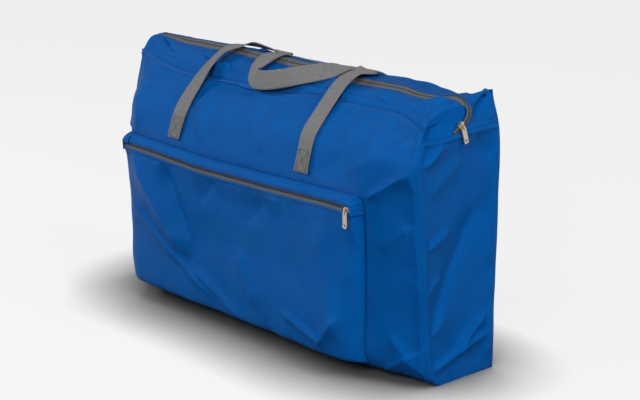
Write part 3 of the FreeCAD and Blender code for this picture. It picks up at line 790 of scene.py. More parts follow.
def top_grid(side):
    """Grid of a top strip, from its seam to the zip."""
    u, v = spread(TOP_ROWS, TOP_COLS)
    x = (2 * u - 1) * STRIP_HALF
    y = side * (HALF_BASE + (tape_shown(x) - HALF_BASE) * v)
    points = np.stack([x, y, top_height(x, y)], -1)
    fade = border_fade(u, v, 0.01, 0.12)
    folded, gathered = (1.0, 0.0024) if side < 0 else (0.4, 0.0009)
    lift = fade * fold_field(x, np.abs(y), TOP_FOLDS) * folded
    lift += fade * seam_puckers(points, HALF_BASE - np.abs(y), gathered, 0.040, 50 + side, 0.05)
    lift += fade * welt(HALF_BASE - np.abs(y))
    points[:, 2] += lift
    return wander(points)


def strip_end_grid(side, rows=46, cols=70):
    """The cloth below the turn, from the end seam up to the top's edge."""
    u_edge = 1.0 if side > 0 else 0.0
    end_x = side * HALF_LENGTH
    points = np.zeros((rows, cols, 3))
    for k, share in enumerate(np.linspace(0, 1, rows)):
        z_fore = min(END_SEAM + (front_top(end_x) - END_SEAM) * share, front_top(end_x) - 1e-4)
        z_aft = END_SEAM + (back_top(end_x) - END_SEAM) * share
        fore = edge_curve(front_base, u_edge, np.array([z_fore]))[0]
        aft = edge_curve(back_base, u_edge, np.array([z_aft]))[0]
        y = np.linspace(fore[1], aft[1], cols)
        crest = top_height(np.full(cols, side * STRIP_HALF), np.clip(y, -HALF_BASE, HALF_BASE))
        points[k] = np.stack([np.full(cols, end_x), y, END_SEAM + (crest - END_SEAM) * share], -1)
    return points.reshape(-1, 3), rows, cols


TURN = HALF_LENGTH - STRIP_HALF     # the cloth turns over to the top within this length
TURN_FROM = 0.72                    # and starts to turn at this share of its height
STRIP_FOLDS = [
    ((-0.115, 0.507), (-0.045, 0.535), 0.006, -0.006), ((0.075, 0.562), (0.012, 0.52), 0.007, -0.007),
    ((0.09, 0.53), (0.05, 0.508), 0.006, 0.004)]


def strip_end(side, name):
    points, rows, cols = strip_end_grid(side)
    v = np.repeat(np.linspace(0, 1, rows), cols)
    w = np.tile(np.linspace(0, 1, cols), rows)
    points[:, 0] -= side * TURN * ease((v - TURN_FROM) / (1 - TURN_FROM)) ** 2
    fade = border_fade(w, v, 0.15, 0.2)
    points[:, 0] += side * fade * (fold_field(points[:, 1], points[:, 2], STRIP_FOLDS) - 0.004)
    return cloth(f"{name}_strip_end_cloth", wander(points), rows, cols, CLOTH_BLUE, "bag",
                 [f"{name}_strip_end"], flip=side < 0)


for side, name, flap in ((-1, "front", "front_flap"), (1, "back", "back_flap")):
    strip = cloth(f"{name}_top_cloth", top_grid(side), TOP_ROWS, TOP_COLS, CLOTH_BLUE,
                  nodes=[f"{name}_top_strip"], flip=side > 0)
    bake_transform(strip)
for side, name in ENDS:
    strip_end(side, name)
print("top strips", round(STRIP_HALF * 2, 3), "m long")

# %% [markdown]
# A coil zip is two woven tapes, each with a nylon wire wound along its edge.
# The tapes are strips of cloth; the coils are drawn turn by turn, about a millimetre
# and a half apart, so they catch the light as a fine row of beads.

# %% Zip tapes and coils
COIL_PITCH = 0.0016


def coil_mesh(name, centre, across, out, half_width, half_height, wire=0.00042, per_turn=10, sides=4):
    """Wire wound as a flat coil about a path; centre, across and out are arrays along the path."""
    steps = np.linalg.norm(np.diff(centre, axis=0), axis=1)
    length = steps.sum()
    turns = max(2, int(length / COIL_PITCH))
    s = np.concatenate([[0], np.cumsum(steps)]) / length
    t = np.linspace(0, 1, turns * per_turn + 1)

    def along(values):
        return np.stack([np.interp(t, s, values[:, k]) for k in range(3)], -1)

    angle = 2 * math.pi * turns * t
    middle, side_way, up = along(centre), along(across), along(out)
    spine = (middle + side_way * (half_width * np.cos(angle))[:, None]
             + up * (half_height * np.sin(angle))[:, None])
    radial = side_way * np.cos(angle)[:, None] + up * np.sin(angle)[:, None]
    run = unit(np.gradient(middle, axis=0))
    rings = []
    for k in range(sides):
        a = 2 * math.pi * k / sides
        rings.append(spine + radial * (wire * math.cos(a)) + run * (wire * 1.3 * math.sin(a)))
    index = np.arange(len(t) * sides).reshape(len(t), sides)
    nxt = np.roll(index, -1, axis=1)
    faces = np.stack([index[:-1], nxt[:-1], nxt[1:], index[1:]], -1).reshape(-1, 4)
    return mesh_piece(name, np.stack(rings, 1).reshape(-1, 3), faces)


def tape_grid(path, across, near, far, rows=5):
    """Grid of a tape beside a path, from near to far across it."""
    w = np.linspace(near, far, rows)
    points = path[None] + across[None] * w[:, None, None]
    return points.reshape(-1, 3), rows, len(path)


COIL_OUTER = -coil_low.y
TAPE_THICK = tape_high.z - tape_low.z
COIL_RISE = (coil_high.z - coil_low.z) / 2
WIRE = 0.0004                  # left inside the coil's outline for the wire's own thickness


def zip_side(name, path, across, out, body, tape_node, coil_node, side, reach=None):
    """One tape and its coil beside the middle line of a zip."""
    reach = reach or TAPE_OUTER + 0.001
    sunk = path - out * (CLOTH - TAPE_THICK)
    points, rows, cols = tape_grid(sunk, across * side, COIL_GAP_HALF * 1.4, reach)
    tape = cloth(f"{name}_tape_cloth", points, rows, cols, TAPE_GREY, body, [tape_node] if tape_node else [],
                 thickness=TAPE_THICK)
    half = (COIL_OUTER - COIL_GAP_HALF * 0.4) / 2
    centre = path + across * side * (COIL_GAP_HALF * 0.4 + half) + out * (COIL_RISE - CLOTH)
    coil = coil_mesh(f"{name}_coil_wire", centre, across * side, out, half - 0.0003, COIL_RISE - WIRE)
    coil.data.materials.append(COIL_GREY)
    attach(coil, body)
    if coil_node:
        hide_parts(coil_node)
    return tape, coil


def level_frame(path, across):
    """Unit vectors across and out of a path, from a rough across."""
    run = unit(np.gradient(path, axis=0))
    across = unit(across - run * (across * run).sum(1, keepdims=True))
    return across, np.cross(run, across)


ZIP_STEPS = 320
zip_x = np.linspace(-STRIP_HALF, STRIP_HALF, ZIP_STEPS)
zip_path = wander(np.stack([zip_x, 0 * zip_x, ridge(zip_x)], -1))
zip_tilt = np.stack([0 * zip_x, np.cos(lean_at(zip_x)), np.sin(lean_at(zip_x))], -1)
zip_across, zip_out = level_frame(zip_path, zip_tilt)
for side, name in FACES:
    zip_side(f"main_zip_{name}", zip_path, zip_across, zip_out, f"{name}_flap", f"main_zip_{name}_tape",
             f"main_zip_{name}_coil", side)
print("main zip", int(2 * STRIP_HALF / COIL_PITCH), "turns a side")

# %% [markdown]
# At each end the zip turns over the edge and runs down to the end seam. Its path is a
# few places read off the turn; a smooth rule carries it through them.

# %% The zip's turned-down ends
DROP_FOOT_Y = -0.035
DROP_REACH = 0.0062            # the tapes are sewn in up to here
# How far out of the end, along Y and below the ridge the zip is as it turns down over an end.
DROP_TURN = [
    (-0.0055, 0.0, 0.0065), (-0.0015, 0.001, 0.011), (0.0012, 0.0012, 0.018), (0.0018, -0.0015, 0.027),
    (0.0018, -0.01, 0.037), (0.0015, -0.022, 0.0455)]


def drop_path(side, steps=44):
    """Middle line of the zip's short end run, from the top's end down to the end seam."""
    places = [(side * (HALF_LENGTH + out), y, RIDGE - down) for out, y, down in DROP_TURN]
    places.append((side * (HALF_LENGTH + 0.001), DROP_FOOT_Y, END_SEAM))
    return wander(smooth_path(places, steps))


for side, name in ENDS:
    path = drop_path(side)
    run = np.gradient(path, axis=0)
    upward = np.linspace(1, 0, len(path)) ** 3
    outward = np.stack([np.full(len(path), float(side)), 0 * upward, upward], -1)
    across, out = level_frame(path, np.cross(outward, run))
    out *= np.sign((out * outward).sum(1, keepdims=True))
    for way, part in ((-1, "fore"), (1, "aft")):
        tape, coil = zip_side(f"main_zip_{name}_drop_{part}", path, across, out, "bag", None, None, way,
                              DROP_REACH)
        if way > 0:
            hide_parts(f"main_zip_{name}_drop_tapes")
            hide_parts(f"main_zip_{name}_drop_coils")
print("turned-down run", round(sum(np.linalg.norm(np.diff(path, axis=0), axis=1)), 3), "m long")

# %% [markdown]
# The pocket is one dished piece of cloth. Its zip runs along the top, under a lid strip
# that is sewn to the front; at both ends the lid and the dish meet in a mitred corner.

# %% The front pocket
POCKET_FOLDS = [
    ((-0.345, 0.345), (-0.13, 0.135), 0.024, 0.0125), ((-0.235, 0.35), (-0.14, 0.175), 0.013, -0.007),
    ((-0.362, 0.235), (-0.05, 0.062), 0.006, 0.0045), ((-0.15, 0.13), (0.05, 0.04), 0.012, 0.0045),
    ((0.265, 0.335), (0.345, 0.05), 0.036, 0.008), ((0.16, 0.105), (0.3, 0.066), 0.006, 0.0055),
    ((0.015, 0.2), (0.095, 0.08), 0.012, 0.005), ((0.12, 0.33), (0.03, 0.25), 0.016, -0.003),
    ((-0.05, 0.335), (-0.11, 0.27), 0.014, -0.0035), ((0.352, 0.14), (0.27, 0.045), 0.009, 0.005)]
POCKET_SAG = [
    (-0.376, 0.0), (-0.3, 0.0), (-0.15, -0.005), (-0.095, -0.006), (0.1, -0.004), (0.224, -0.002),
    (0.32, 0.0), (0.376, 0.002)]
lower_low, lower_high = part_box("pocket_zip_lower_tape")
POCKET_ZIP_HALF = lower_high.x + CLOTH
ZIP_CENTRE = lower_low.z + TAPE_OUTER


def pocket_settled(points):
    """The pocket's top edge sags with its zip."""
    points = points.copy()
    points[:, 2] += through(POCKET_SAG, points[:, 0]) * ease((points[:, 2] - 0.16) / 0.14)
    return wander(points)


POCKET_RIM = ZIP_CENTRE - 0.0068          # the cloth is turned in over its half of the tape
LID_EDGE = ZIP_CENTRE + 0.0050
LIP_Y = POCKET_Y - 0.0018                 # both turned edges stand this far out
NO_RISE, ON_RISE = (0.0, 0.0), (1.0, 1.0)


def pocket_grid(rows=150, cols=280):
    """The dish: square at its sides, rounded at its foot, soft where it is full."""
    u, v = spread(rows, cols)
    wall, reach = POCKET_HALF - POCKET_ZIP_HALF, 0.060
    beside = [NO_RISE, (wall / 2, 0.5), (wall, 1.0), ON_RISE]
    below = [NO_RISE, (wall / 2, 0.28), (wall, 0.5), (reach / 3, 0.8), (0.62 * reach, 0.95), (reach, 1.0),
             ON_RISE]
    rise = [(POCKET_BOTTOM, 0.0, 1.0), (POCKET_BOTTOM + 0.002, 0.6, 1.0), (POCKET_BOTTOM + 0.009, 0.95, 1.0),
            (POCKET_BOTTOM + 0.030, 1.0, 1.0), (0.5 * (POCKET_BOTTOM + ZIP_FLOOR), 1.0, 1.0),
            (ZIP_FLOOR - 0.040, 1.0, 0.5), (POCKET_RIM, 1.0, 0.0)]
    up = spline_basis(len(rise), v)
    z, stand, lower = (np.array([p[k] for p in rise]) @ up for k in range(3))
    x = (2 * u - 1) * POCKET_HALF
    inset = POCKET_HALF - np.abs(x)
    near, far = through(beside, inset), through(below, inset)
    stand = stand * (near + (far - near) * lower)
    y = front_y(x, z) * (1 - stand) + POCKET_Y * stand
    points = np.stack([x, y, z], -1)
    lift = fold_field(x, z, POCKET_FOLDS)
    lift += seam_puckers(points, ZIP_FLOOR - z, 0.0018, 0.045, 61, 0.04)
    lift += seam_puckers(points, z - POCKET_BOTTOM, 0.0016, 0.050, 62, 0.04)
    lift += seam_puckers(points[:, [2, 1, 0]], POCKET_HALF - np.abs(x), 0.0016, 0.050, 63, 0.05)
    lift += 0.0016 * ripples(points, 0.20, 64)
    lift -= 0.006 * ease((z - 0.10) / 0.1) * np.exp(-(x / 0.22) ** 2) * ease((ZIP_FLOOR - z) / 0.05)
    points[:, 1] -= lift * stand * ease((ZIP_FLOOR - z) / 0.012)
    points[:, 1] -= 0.0018 * ease((z - ZIP_FLOOR + 0.002) / 0.004)
    return pocket_settled(points), rows, cols


def lid_grid(rows=22, cols=220):
    """The lid slopes out from its seam, then turns down over its half of the tape."""
    u, v = spread(rows, cols)
    x = (2 * u - 1) * LID_HALF
    rim = np.clip((1 - v) / 0.7, 0, 1)
    turned = np.clip((0.3 - v) / 0.3, 0, 1)
    z = POCKET_SEAM + (LID_RIM - POCKET_SEAM) * rim - (LID_RIM - LID_EDGE) * turned
    y = front_y(x, z * 0 + POCKET_SEAM) * (1 - rim) + LIP_Y * rim
    z = z + 0.0035 * np.sin(math.pi * rim)
    return pocket_settled(np.stack([x, y, z], -1)), rows, cols


def corner_grid(side, rows=22, cols=48):
    """Mitred cloth that turns from the lid's end down the pocket's end."""
    t = np.linspace(0, 1, cols)
    zip_end, wide = POCKET_ZIP_HALF, POCKET_HALF
    # Three lines as (x, z): the edge turned in, the rim beside the zip, and the seam on the front.
    lines = np.array([
        [(LID_HALF, LID_EDGE), (zip_end - 0.003, LID_EDGE), (zip_end - 0.002, LID_EDGE - 0.002),
         (zip_end - 0.001, ZIP_FLOOR)],
        [(LID_HALF, LID_RIM), (zip_end - 0.003, LID_RIM), (zip_end, LID_RIM - 0.003), (zip_end, ZIP_FLOOR)],
        [(LID_HALF, POCKET_SEAM), (wide - 0.01, POCKET_SEAM), (wide, POCKET_SEAM - 0.01), (wide, ZIP_FLOOR)]])
    places = [0.0, 0.42, 0.60, 1.0]
    lip, rim, seam = (np.stack([np.interp(t, places, line[:, k]) for k in range(2)], -1) for line in lines)
    points = []
    for v in np.linspace(0, 1, rows):
        turned, r = max(0.0, 1 - v / 0.3), max(0.0, (v - 0.3) / 0.7)
        x, z = (lip * turned + (rim * (1 - r) + seam * r) * (1 - turned)).T
        y = LIP_Y * (1 - r) + front_y(seam[:, 0], seam[:, 1]) * r - 0.004 * math.sin(math.pi * r)
        points.append(np.stack([side * x, y, z], -1))
    return pocket_settled(np.concatenate(points)), rows, cols


points, rows, cols = pocket_grid()
cloth("pocket_cloth", points, rows, cols, CLOTH_BLUE, "bag", ["pocket_panel"])
points, rows, cols = lid_grid()
lid = cloth("pocket_lid_cloth", points, rows, cols, CLOTH_BLUE, nodes=["pocket_lid_strip"])
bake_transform(lid)
for side, name in ENDS:
    points, rows, cols = corner_grid(side)
    corner = cloth(f"pocket_{name}_corner_cloth", points, rows, cols, CLOTH_BLUE, "bag", flip=side > 0)
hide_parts("pocket_corners")
print("pocket", round(2 * POCKET_HALF, 3), "m wide")

# %% [markdown]
# The pocket's zip is the main zip again: the same tapes and coils beside another line.
# Its upper tape is sewn to the lid, so it lifts with it; the rest stays on the bag.

# %% The pocket's zip
POCKET_REACH = 0.0095          # the pocket's tapes are sewn in up to here


def pocket_path(x_low, x_high, steps):
    """Middle line of the pocket's zip between two places, with its frame."""
    x = np.linspace(x_low, x_high, steps)
    path = pocket_settled(np.stack([x, 0 * x + POCKET_Y + CLOTH, 0 * x + ZIP_CENTRE], -1))
    across, out = level_frame(path, np.tile([0.0, 0.0, 1.0], (steps, 1)))
    return path - out * CLOTH * np.sign(out[:, 1:2]), across, out * -np.sign(out[:, 1:2])


# Where a run starts and stops, which side of the line it is on, its body, name and the nodes it shows.
RUNS = [
    (-LID_HALF, LID_HALF, 1, "pocket_lid", "upper", "pocket_zip_upper_tape", "pocket_zip_upper_coil"),
    (-POCKET_ZIP_HALF, POCKET_ZIP_HALF, -1, "bag", "lower", "pocket_zip_lower_tape", "pocket_zip_lower_coil"),
    (LID_HALF, POCKET_ZIP_HALF, 1, "bag", "right_end", "pocket_zip_end_tapes", "pocket_zip_end_coils"),
    (-POCKET_ZIP_HALF, -LID_HALF, 1, "bag", "left_end", None, None)]
for x_low, x_high, way, body, name, tape_node, coil_node in RUNS:
    path, across, out = pocket_path(x_low, x_high, max(12, int((x_high - x_low) / 0.003)))
    zip_side(f"pocket_zip_{name}", path, across, out, body, tape_node, coil_node, way, POCKET_REACH)
print("runs of the pocket's zip", len(RUNS))

# %% [markdown]
# Rows of stitches show where cloth is sewn to cloth: along the top seam, twice along
# the pocket lid's seam, down beside the pocket, and beside each zip. Each row is a line
# worked out on the cloth it holds, so it lies on the folds.

# %% Stitch rows
def front_line(x, z):
    """Line on the face of the front panel's cloth."""
    return wander(np.stack([x, front_y(x, z), z], -1))


def side_line(end, steps=160):
    z = np.linspace(POCKET_BOTTOM + 0.01, POCKET_SEAM - 0.004, steps)
    return front_line(np.full(steps, end * (POCKET_HALF + 0.006)), z)


def along_top(below, steps=300):
    x = np.linspace(-HALF_LENGTH + 0.012, HALF_LENGTH - 0.012, steps)
    return front_line(x, front_top(x) - below)


def lid_line(above, steps=260):
    x = np.linspace(-POCKET_HALF, POCKET_HALF, steps)
    z = np.full(steps, POCKET_SEAM + above)
    line = front_line(x, z)
    return line + pocket_settled(np.stack([x, 0 * x, z], -1)) - wander(np.stack([x, 0 * x, z], -1))


def rim_line(z, steps=240):
    x = np.linspace(-LID_HALF, LID_HALF, steps)
    return pocket_settled(np.stack([x, 0 * x + LIP_Y, np.full(steps, z)], -1))


def zip_row(side, steps=280):
    x = np.linspace(-STRIP_HALF + 0.01, STRIP_HALF - 0.01, steps)
    y = side * (tape_shown(x) + 0.0035)
    return wander(np.stack([x, y, top_height(x, y)], -1))


FRONTWARD = (0.0, -1.0, 0.0)
# Real top-stitching in dark blue thread, and also painted shade: the dark row stands for the shadow line in
# the seam's groove.
stitches("top_seam_stitches", along_top(0.0045), (0, -0.8, 0.6), THREAD_BLUE, "bag")
for row, above in enumerate((0.003, 0.009)):
    stitches(f"pocket_lid_seam_stitches_{row + 1}", lid_line(above), FRONTWARD, THREAD_BLUE, "bag")
for side, name in ((-1, "left"), (1, "right")):
    stitches(f"pocket_{name}_side_stitches", side_line(side), FRONTWARD, THREAD_BLUE, "bag")
stitches("pocket_rim_stitches", rim_line(POCKET_RIM - 0.003), FRONTWARD, THREAD_BLUE, "bag")
stitches("pocket_lid_edge_stitches", rim_line(LID_EDGE + 0.003), FRONTWARD, THREAD_BLUE, "pocket_lid")
for side, name in FACES:
    stitches(f"main_zip_{name}_stitches", zip_row(side), (0.0, -0.3, 0.95), THREAD_BLUE, f"{name}_flap")

# %% [markdown]
# Inside, the raw seams of the front and of the back are bound with tape, so no thread
# can fray. It shows only when the top is open, so a flat strip along the seam does.

# %% Seam bindings
BINDING_THICK = 0.0009


def binding(name):
    """Tape up one end, along the base and up the other end."""
    low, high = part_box(name)
    y_middle, half = (low.y + high.y) / 2, (high.y - low.y) / 2
    climb = np.linspace(END_SEAM, CLOTH, 60)
    level = np.linspace(0, 1, 120)[1:-1]
    inner = HALF_LENGTH - CLOTH - BINDING_THICK
    paths = []
    for w in np.linspace(-half, half, 5):
        up, along = np.full(len(climb), y_middle + w), np.full(len(level), y_middle + w)
        path = [np.stack([inner + end_lift(1, up, climb), up, climb], -1),
                np.stack([inner * (1 - 2 * level), along, 0 * along + CLOTH + BINDING_THICK], -1),
                np.stack([-inner - end_lift(-1, up, climb)[::-1], up, climb[::-1]], -1)]
        paths.append(np.concatenate(path))
    rows, cols = len(paths), len(paths[0])
    return cloth(f"{name}_tape", wander(np.concatenate(paths)), rows, cols, BINDING_BLUE, "bag", [name],
                 thickness=BINDING_THICK)


for name in ("front_seam_binding", "back_seam_binding"):
    binding(name)
print("bindings", 2)

# %% [markdown]
# The handles are webbing: stiff enough to stand in a loop, soft enough to twist.
# Each is one strip whose ends are folded under and sewn flat to the panel, then it
# rises over the zip. A strip is a path plus the way its width points at each place.

# %% Webbing handles
WEBBING_WIDTH = 0.040
WEBBING_THICK = 0.0022
sewn_low, sewn_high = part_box("front_handle_sewn_ends")
SEWN_BOTTOM, SEWN_TOP = sewn_low.z, sewn_high.z
HANDLE_SPREAD = sewn_high.x - WEBBING_WIDTH / 2


def webbing(stations, steps=260, cols=11):
    """Strip of webbing through stations, each a point and a width direction."""
    both = smooth_path([tuple(point) + tuple(width) for point, width in stations], steps)
    path = both[:, :3]
    across, through_it = level_frame(path, both[:, 3:])
    w = np.linspace(-0.5, 0.5, cols)
    camber = 0.0008 * (1 - (2 * w) ** 2)
    grid = (path[None] + across[None] * (w * WEBBING_WIDTH)[:, None, None]
            + through_it[None] * camber[:, None, None])
    return grid.reshape(-1, 3), cols, steps


def on_front(x, z, off):
    """Point a little off the front's cloth."""
    return (x, float(front_y(np.array([x]), np.array([z]))[0]) - off, z)


def on_back(x, z, off):
    return (x, float(back_y(np.array([x]), np.array([z]))[0]) + off, z)


FLAT, BACKWARD = (1.0, 0.0, 0.0), (-1.0, 0.0, 0.0)     # the strip's width at its two ends
FOLD_OFF = 0.0042              # top face of the folded end above the panel
X = HANDLE_SPREAD
TOP = RIDGE
front_stations = [
    (on_front(-X, SEWN_BOTTOM, FOLD_OFF), FLAT), (on_front(-X, SEWN_TOP - 0.004, FOLD_OFF), FLAT),
    (on_front(-X, 0.466, 0.0055), FLAT), (on_front(-X - 0.002, 0.494, 0.009), (1.0, -0.12, 0.0)),
    ((-X - 0.006, -0.08, TOP - 0.02), (0.93, -0.34, 0.1)),
    ((-X - 0.006, -0.042, TOP + 0.003), (0.9, -0.42, 0.05)),
    ((-X - 0.003, -0.005, TOP + 0.012), (0.97, -0.15, 0.0)),
    ((-X + 0.01, 0.03, TOP + 0.013), (0.75, -0.55, 0.35)),
    ((-X + 0.048, 0.054, TOP + 0.005), (0.25, -0.9, 0.4)),
    ((-X + 0.11, 0.06, TOP - 0.002), (0.0, -0.93, 0.36)), ((-0.035, 0.061, TOP - 0.004), (0.0, -0.93, 0.36)),
    ((0.045, 0.063, TOP - 0.007), (0.0, -0.93, 0.36)),
    ((X - 0.09, 0.064, TOP - 0.005), (-0.05, -0.92, 0.38)),
    ((X - 0.05, 0.055, TOP + 0.001), (-0.35, -0.85, 0.4)),
    ((X - 0.028, 0.03, TOP + 0.009), (-0.8, -0.5, 0.3)), ((X - 0.03, -0.006, TOP + 0.008), (-1.0, 0.1, 0.0)),
    ((X - 0.024, -0.044, TOP - 0.001), BACKWARD), ((X - 0.014, -0.082, TOP - 0.021), BACKWARD),
    (on_front(X - 0.007, 0.494, 0.008), BACKWARD), (on_front(X - 0.002, 0.466, 0.0055), BACKWARD),
    (on_front(X, SEWN_TOP - 0.004, FOLD_OFF), BACKWARD), (on_front(X, SEWN_BOTTOM, FOLD_OFF), BACKWARD)]
back_stations = [
    (on_back(-X, SEWN_BOTTOM, FOLD_OFF), FLAT), (on_back(-X, SEWN_TOP - 0.004, FOLD_OFF), FLAT),
    (on_back(-X + 0.008, 0.47, 0.005), (1.0, 0.0, -0.2)),
    (on_back(-X + 0.026, 0.506, 0.007), (1.0, 0.2, -0.3)),
    ((-X + 0.06, 0.082, TOP - 0.006), (1.0, 0.3, -0.1)), ((-0.107, 0.045, TOP + 0.003), (1.0, 0.3, 0.0)),
    ((-0.084, 0.005, TOP + 0.01), (1.0, 0.2, 0.0)), ((-0.068, -0.04, TOP + 0.006), (1.0, 0.0, -0.05)),
    ((-0.06, -0.068, TOP - 0.004), (0.98, 0.0, 0.15)), ((-0.054, -0.085, TOP - 0.015), (0.75, 0.05, 0.62)),
    ((-0.04, -0.095, TOP - 0.022), (0.25, 0.2, 0.95)), ((-0.008, -0.097, TOP - 0.022), (0.0, 0.25, 0.97)),
    ((0.036, -0.088, TOP - 0.014), (0.0, 0.3, 0.95)),
    ((X - 0.118, -0.068, TOP - 0.001), (-0.35, 0.35, 0.85)),
    ((X - 0.082, -0.04, TOP + 0.008), (-0.75, 0.1, 0.5)),
    ((X - 0.066, -0.004, TOP + 0.013), (-1.0, -0.2, 0.1)),
    ((X - 0.06, 0.036, TOP + 0.006), (-1.0, 0.4, 0.0)), ((X - 0.045, 0.082, TOP - 0.008), (-1.0, 0.4, -0.2)),
    (on_back(X - 0.026, 0.506, 0.007), (-1.0, 0.2, -0.3)),
    (on_back(X - 0.008, 0.47, 0.005), (-1.0, 0.0, -0.2)), (on_back(X, SEWN_TOP - 0.004, FOLD_OFF), BACKWARD),
    (on_back(X, SEWN_BOTTOM, FOLD_OFF), BACKWARD)]


def handle(name, stations, side):
    points, rows, cols = webbing(stations)
    strap = cloth(f"{name}_webbing", wander(points), rows, cols, WEBBING_GREY,
                  nodes=[name, f"{name}_sewn_ends"], thickness=WEBBING_THICK, offset=0, flip=side > 0)
    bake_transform(strap)
    return strap


handle("front_handle", front_stations, -1)
handle("back_handle", back_stations, 1)
print("handles", round(2 * X, 3), "m apart at the sewn ends")

# %% [markdown]
# A square of thread with a cross in it holds each end of a handle, the strongest
# plain stitch there is. It is four sides and two diagonals, sewn as one line.

# %% Box stitches on the sewn ends
def box_stitch(name, x, side):
    """Square and cross of thread on a handle's sewn end."""
    inset = 0.0045
    left, right = x - WEBBING_WIDTH / 2 + inset, x + WEBBING_WIDTH / 2 - inset
    low, high = SEWN_BOTTOM + inset, SEWN_TOP - inset
    turns = np.array([(left, low), (right, low), (right, high), (left, high), (left, low), (right, high),
                      (left, high), (right, low)])
    t = np.linspace(0, len(turns) - 1, 240)
    xs, zs = (np.interp(t, np.arange(len(turns)), turns[:, k]) for k in range(2))
    base = front_y if side < 0 else back_y
    line = wander(np.stack([xs, base(xs, zs) + side * (FOLD_OFF + 0.0024), zs], -1))
    return stitches(name, line, (0.0, float(side), 0.0), THREAD_GREY, "bag", pitch=0.0032, share=0.7,
                    thick=0.0005)


for side, name in FACES:
    for end, where in ((-1, "left"), (1, "right")):
        box_stitch(f"{name}_handle_{where}_box_stitch", end * X, side)
print("box stitches", 4)

# %% [markdown]
# The sliders, links and tabs are the frame's own metal, with a finish of worn nickel:
# a warm grey, blotched between bright and dull as a handled pull is.

# %% Metal pulls
def nickel():
    """Plated zinc, blotched between dull and bright."""
    material, tree, shader = new_material("worn nickel")
    where = add(tree, "ShaderNodeTexCoord")
    worn = add(tree, "ShaderNodeTexNoise", in_Scale=260.0, in_Detail=4.0)
    link(tree, where.outputs["Object"], worn.inputs["Vector"])
    tone = add(tree, "ShaderNodeMix", data_type="RGBA")
    put(tone, A=srgb(150, 132, 108), B=srgb(226, 208, 184))
    link(tree, worn.outputs["Fac"], tone.inputs["Factor"])
    link(tree, tone.outputs["Result"], shader.inputs["Base Color"])
    rough = math_node(tree, "MULTIPLY_ADD", worn.outputs["Fac"], 0.3)
    rough.node.inputs[2].default_value = 0.22
    link(tree, rough, shader.inputs["Roughness"])
    put(shader, Metallic=0.85)
    relief = add(tree, "ShaderNodeBump", in_Strength=0.25, in_Distance=0.0003)
    link(tree, worn.outputs["Fac"], relief.inputs["Height"])
    link(tree, relief.outputs[0], shader.inputs["Normal"])
    return material


NICKEL = nickel()
METAL_NODES = [f"{place}_{part}" for place in ("main", "pocket")
               for part in ("slider", "pull_link", "pull_tab")]
for node in METAL_NODES:
    for place in frame["nodes"][node].material_slots:
        place.material = NICKEL
print("metal pieces", len(METAL_NODES))

# %% [markdown]
# SLOTS matches each finish to its name in the record. The new pieces whose finish
# is listed there are counted.

# %% Count the pieces with a listed finish
named = 0
for thing in list(bpy.data.objects):
    finish = thing.data.materials[0].name if thing.type == "MESH" and thing.data.materials else None
    if finish in SLOTS and thing.name not in frame["nodes"]:
        named += 1
print("pieces with a named finish", named)

# %% [markdown]
# The bag stands on a pale seamless floor that curves up far behind it. The floor is dark
# to the bag and glows only to the camera and in reflections, so its white doesn't wash the folds out;
# it glows less where the bag shuts the sky off, which draws the soft contact shadow.

# %% Studio
WHITE = (1.0, 1.0, 1.0, 1.0)
FLOOR_GREY, FLOOR_GLOW, CONTACT = 0.07, 0.82, 2.6
SKY = 0.27                     # strength of the even light from all round


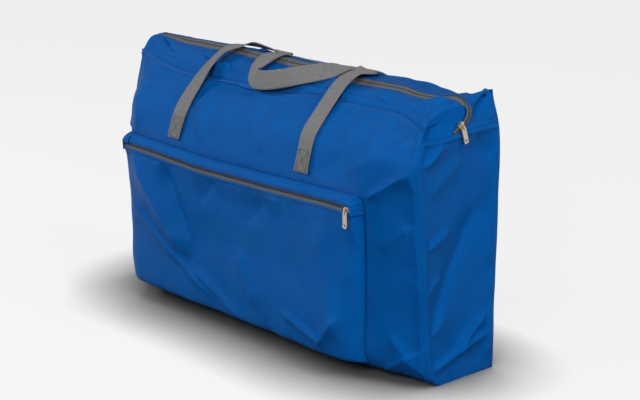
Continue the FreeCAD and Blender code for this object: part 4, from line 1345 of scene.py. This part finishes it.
def studio_floor():
    """Floor and backdrop in one, turned to face the camera."""
    floor_material, tree, shader = new_material("studio floor")
    put(shader, Base_Color=(FLOOR_GREY, FLOOR_GREY, FLOOR_GREY, 1.0), Roughness=0.8, Specular_IOR_Level=0.1,
        Emission_Color=WHITE)
    open_sky = add(tree, "ShaderNodeAmbientOcclusion", samples=16, in_Distance=0.18)
    glow = math_node(tree, "MULTIPLY", math_node(tree, "POWER", open_sky.outputs["AO"], CONTACT), FLOOR_GLOW)
    seen = tree.nodes.new("ShaderNodeLightPath")
    looked_at = math_node(tree, "MAXIMUM", seen.outputs["Is Camera Ray"], seen.outputs["Is Glossy Ray"])
    glow = math_node(tree, "MULTIPLY", glow, looked_at)
    link(tree, glow, shader.inputs["Emission Strength"])
    profile = [(-6.0, 0.0), (3.0, 0.0), (4.2, 0.25), (4.9, 1.1), (5.1, 2.4), (5.1, 7.0)]
    points = [(x, y, z) for y, z in profile for x in (-9.0, 9.0)]
    faces = [(2 * k, 2 * k + 1, 2 * k + 3, 2 * k + 2) for k in range(len(profile) - 1)]
    thing = mesh_piece("studio floor", points, faces, smooth=False)
    thing.data.materials.append(floor_material)
    thing.rotation_euler.z = -math.radians(AZIMUTH)
    return thing


AZIMUTH, ELEVATION, DISTANCE = 47.89, 15.386, 3.394
TARGET = Vector((0.0614, 0.0, 0.2736))


def toward(azimuth, elevation):
    """Direction from the bag; azimuth 0 is its front and 90 its right end."""
    a, e = math.radians(azimuth), math.radians(elevation)
    return Vector((math.sin(a) * math.cos(e), -math.cos(a) * math.cos(e), math.sin(e)))


def aimed(thing, azimuth, elevation, distance):
    """Put a lamp or a camera out at a distance, looking at the bag."""
    thing.location = TARGET + toward(azimuth, elevation) * distance
    thing.rotation_euler = (TARGET - thing.location).to_track_quat("-Z", "Y").to_euler()
    return thing


def soft_light(name, azimuth, elevation, distance, size, watts):
    """Rectangular lamp."""
    lamp = bpy.data.lights.new(name, "AREA")
    lamp.shape = "RECTANGLE"
    lamp.size, lamp.size_y = size
    lamp.energy = watts
    return aimed(placed(name, lamp), azimuth, elevation, distance)


floor = studio_floor()
lights = [soft_light("key", -58, 30, 3.6, (0.9, 0.8), 72), soft_light("front", 30, 27, 3.8, (1.2, 0.9), 108),
          soft_light("side", 98, 28, 3.8, (1.0, 0.8), 90)]
camera = bpy.data.cameras.new("camera")
camera.lens = 90
camera.sensor_width = 36
lens = aimed(placed("camera", camera), AZIMUTH, ELEVATION, DISTANCE)
scene = bpy.context.scene
scene.camera = lens
scene.view_settings.view_transform = "Standard"
world = bpy.data.worlds.new("world")
scene.world = world
world.use_nodes = True
put(world.node_tree.nodes["Background"], Color=WHITE, Strength=SKY)
print("lights", len(lights), "and a lens of", camera.lens, "mm")
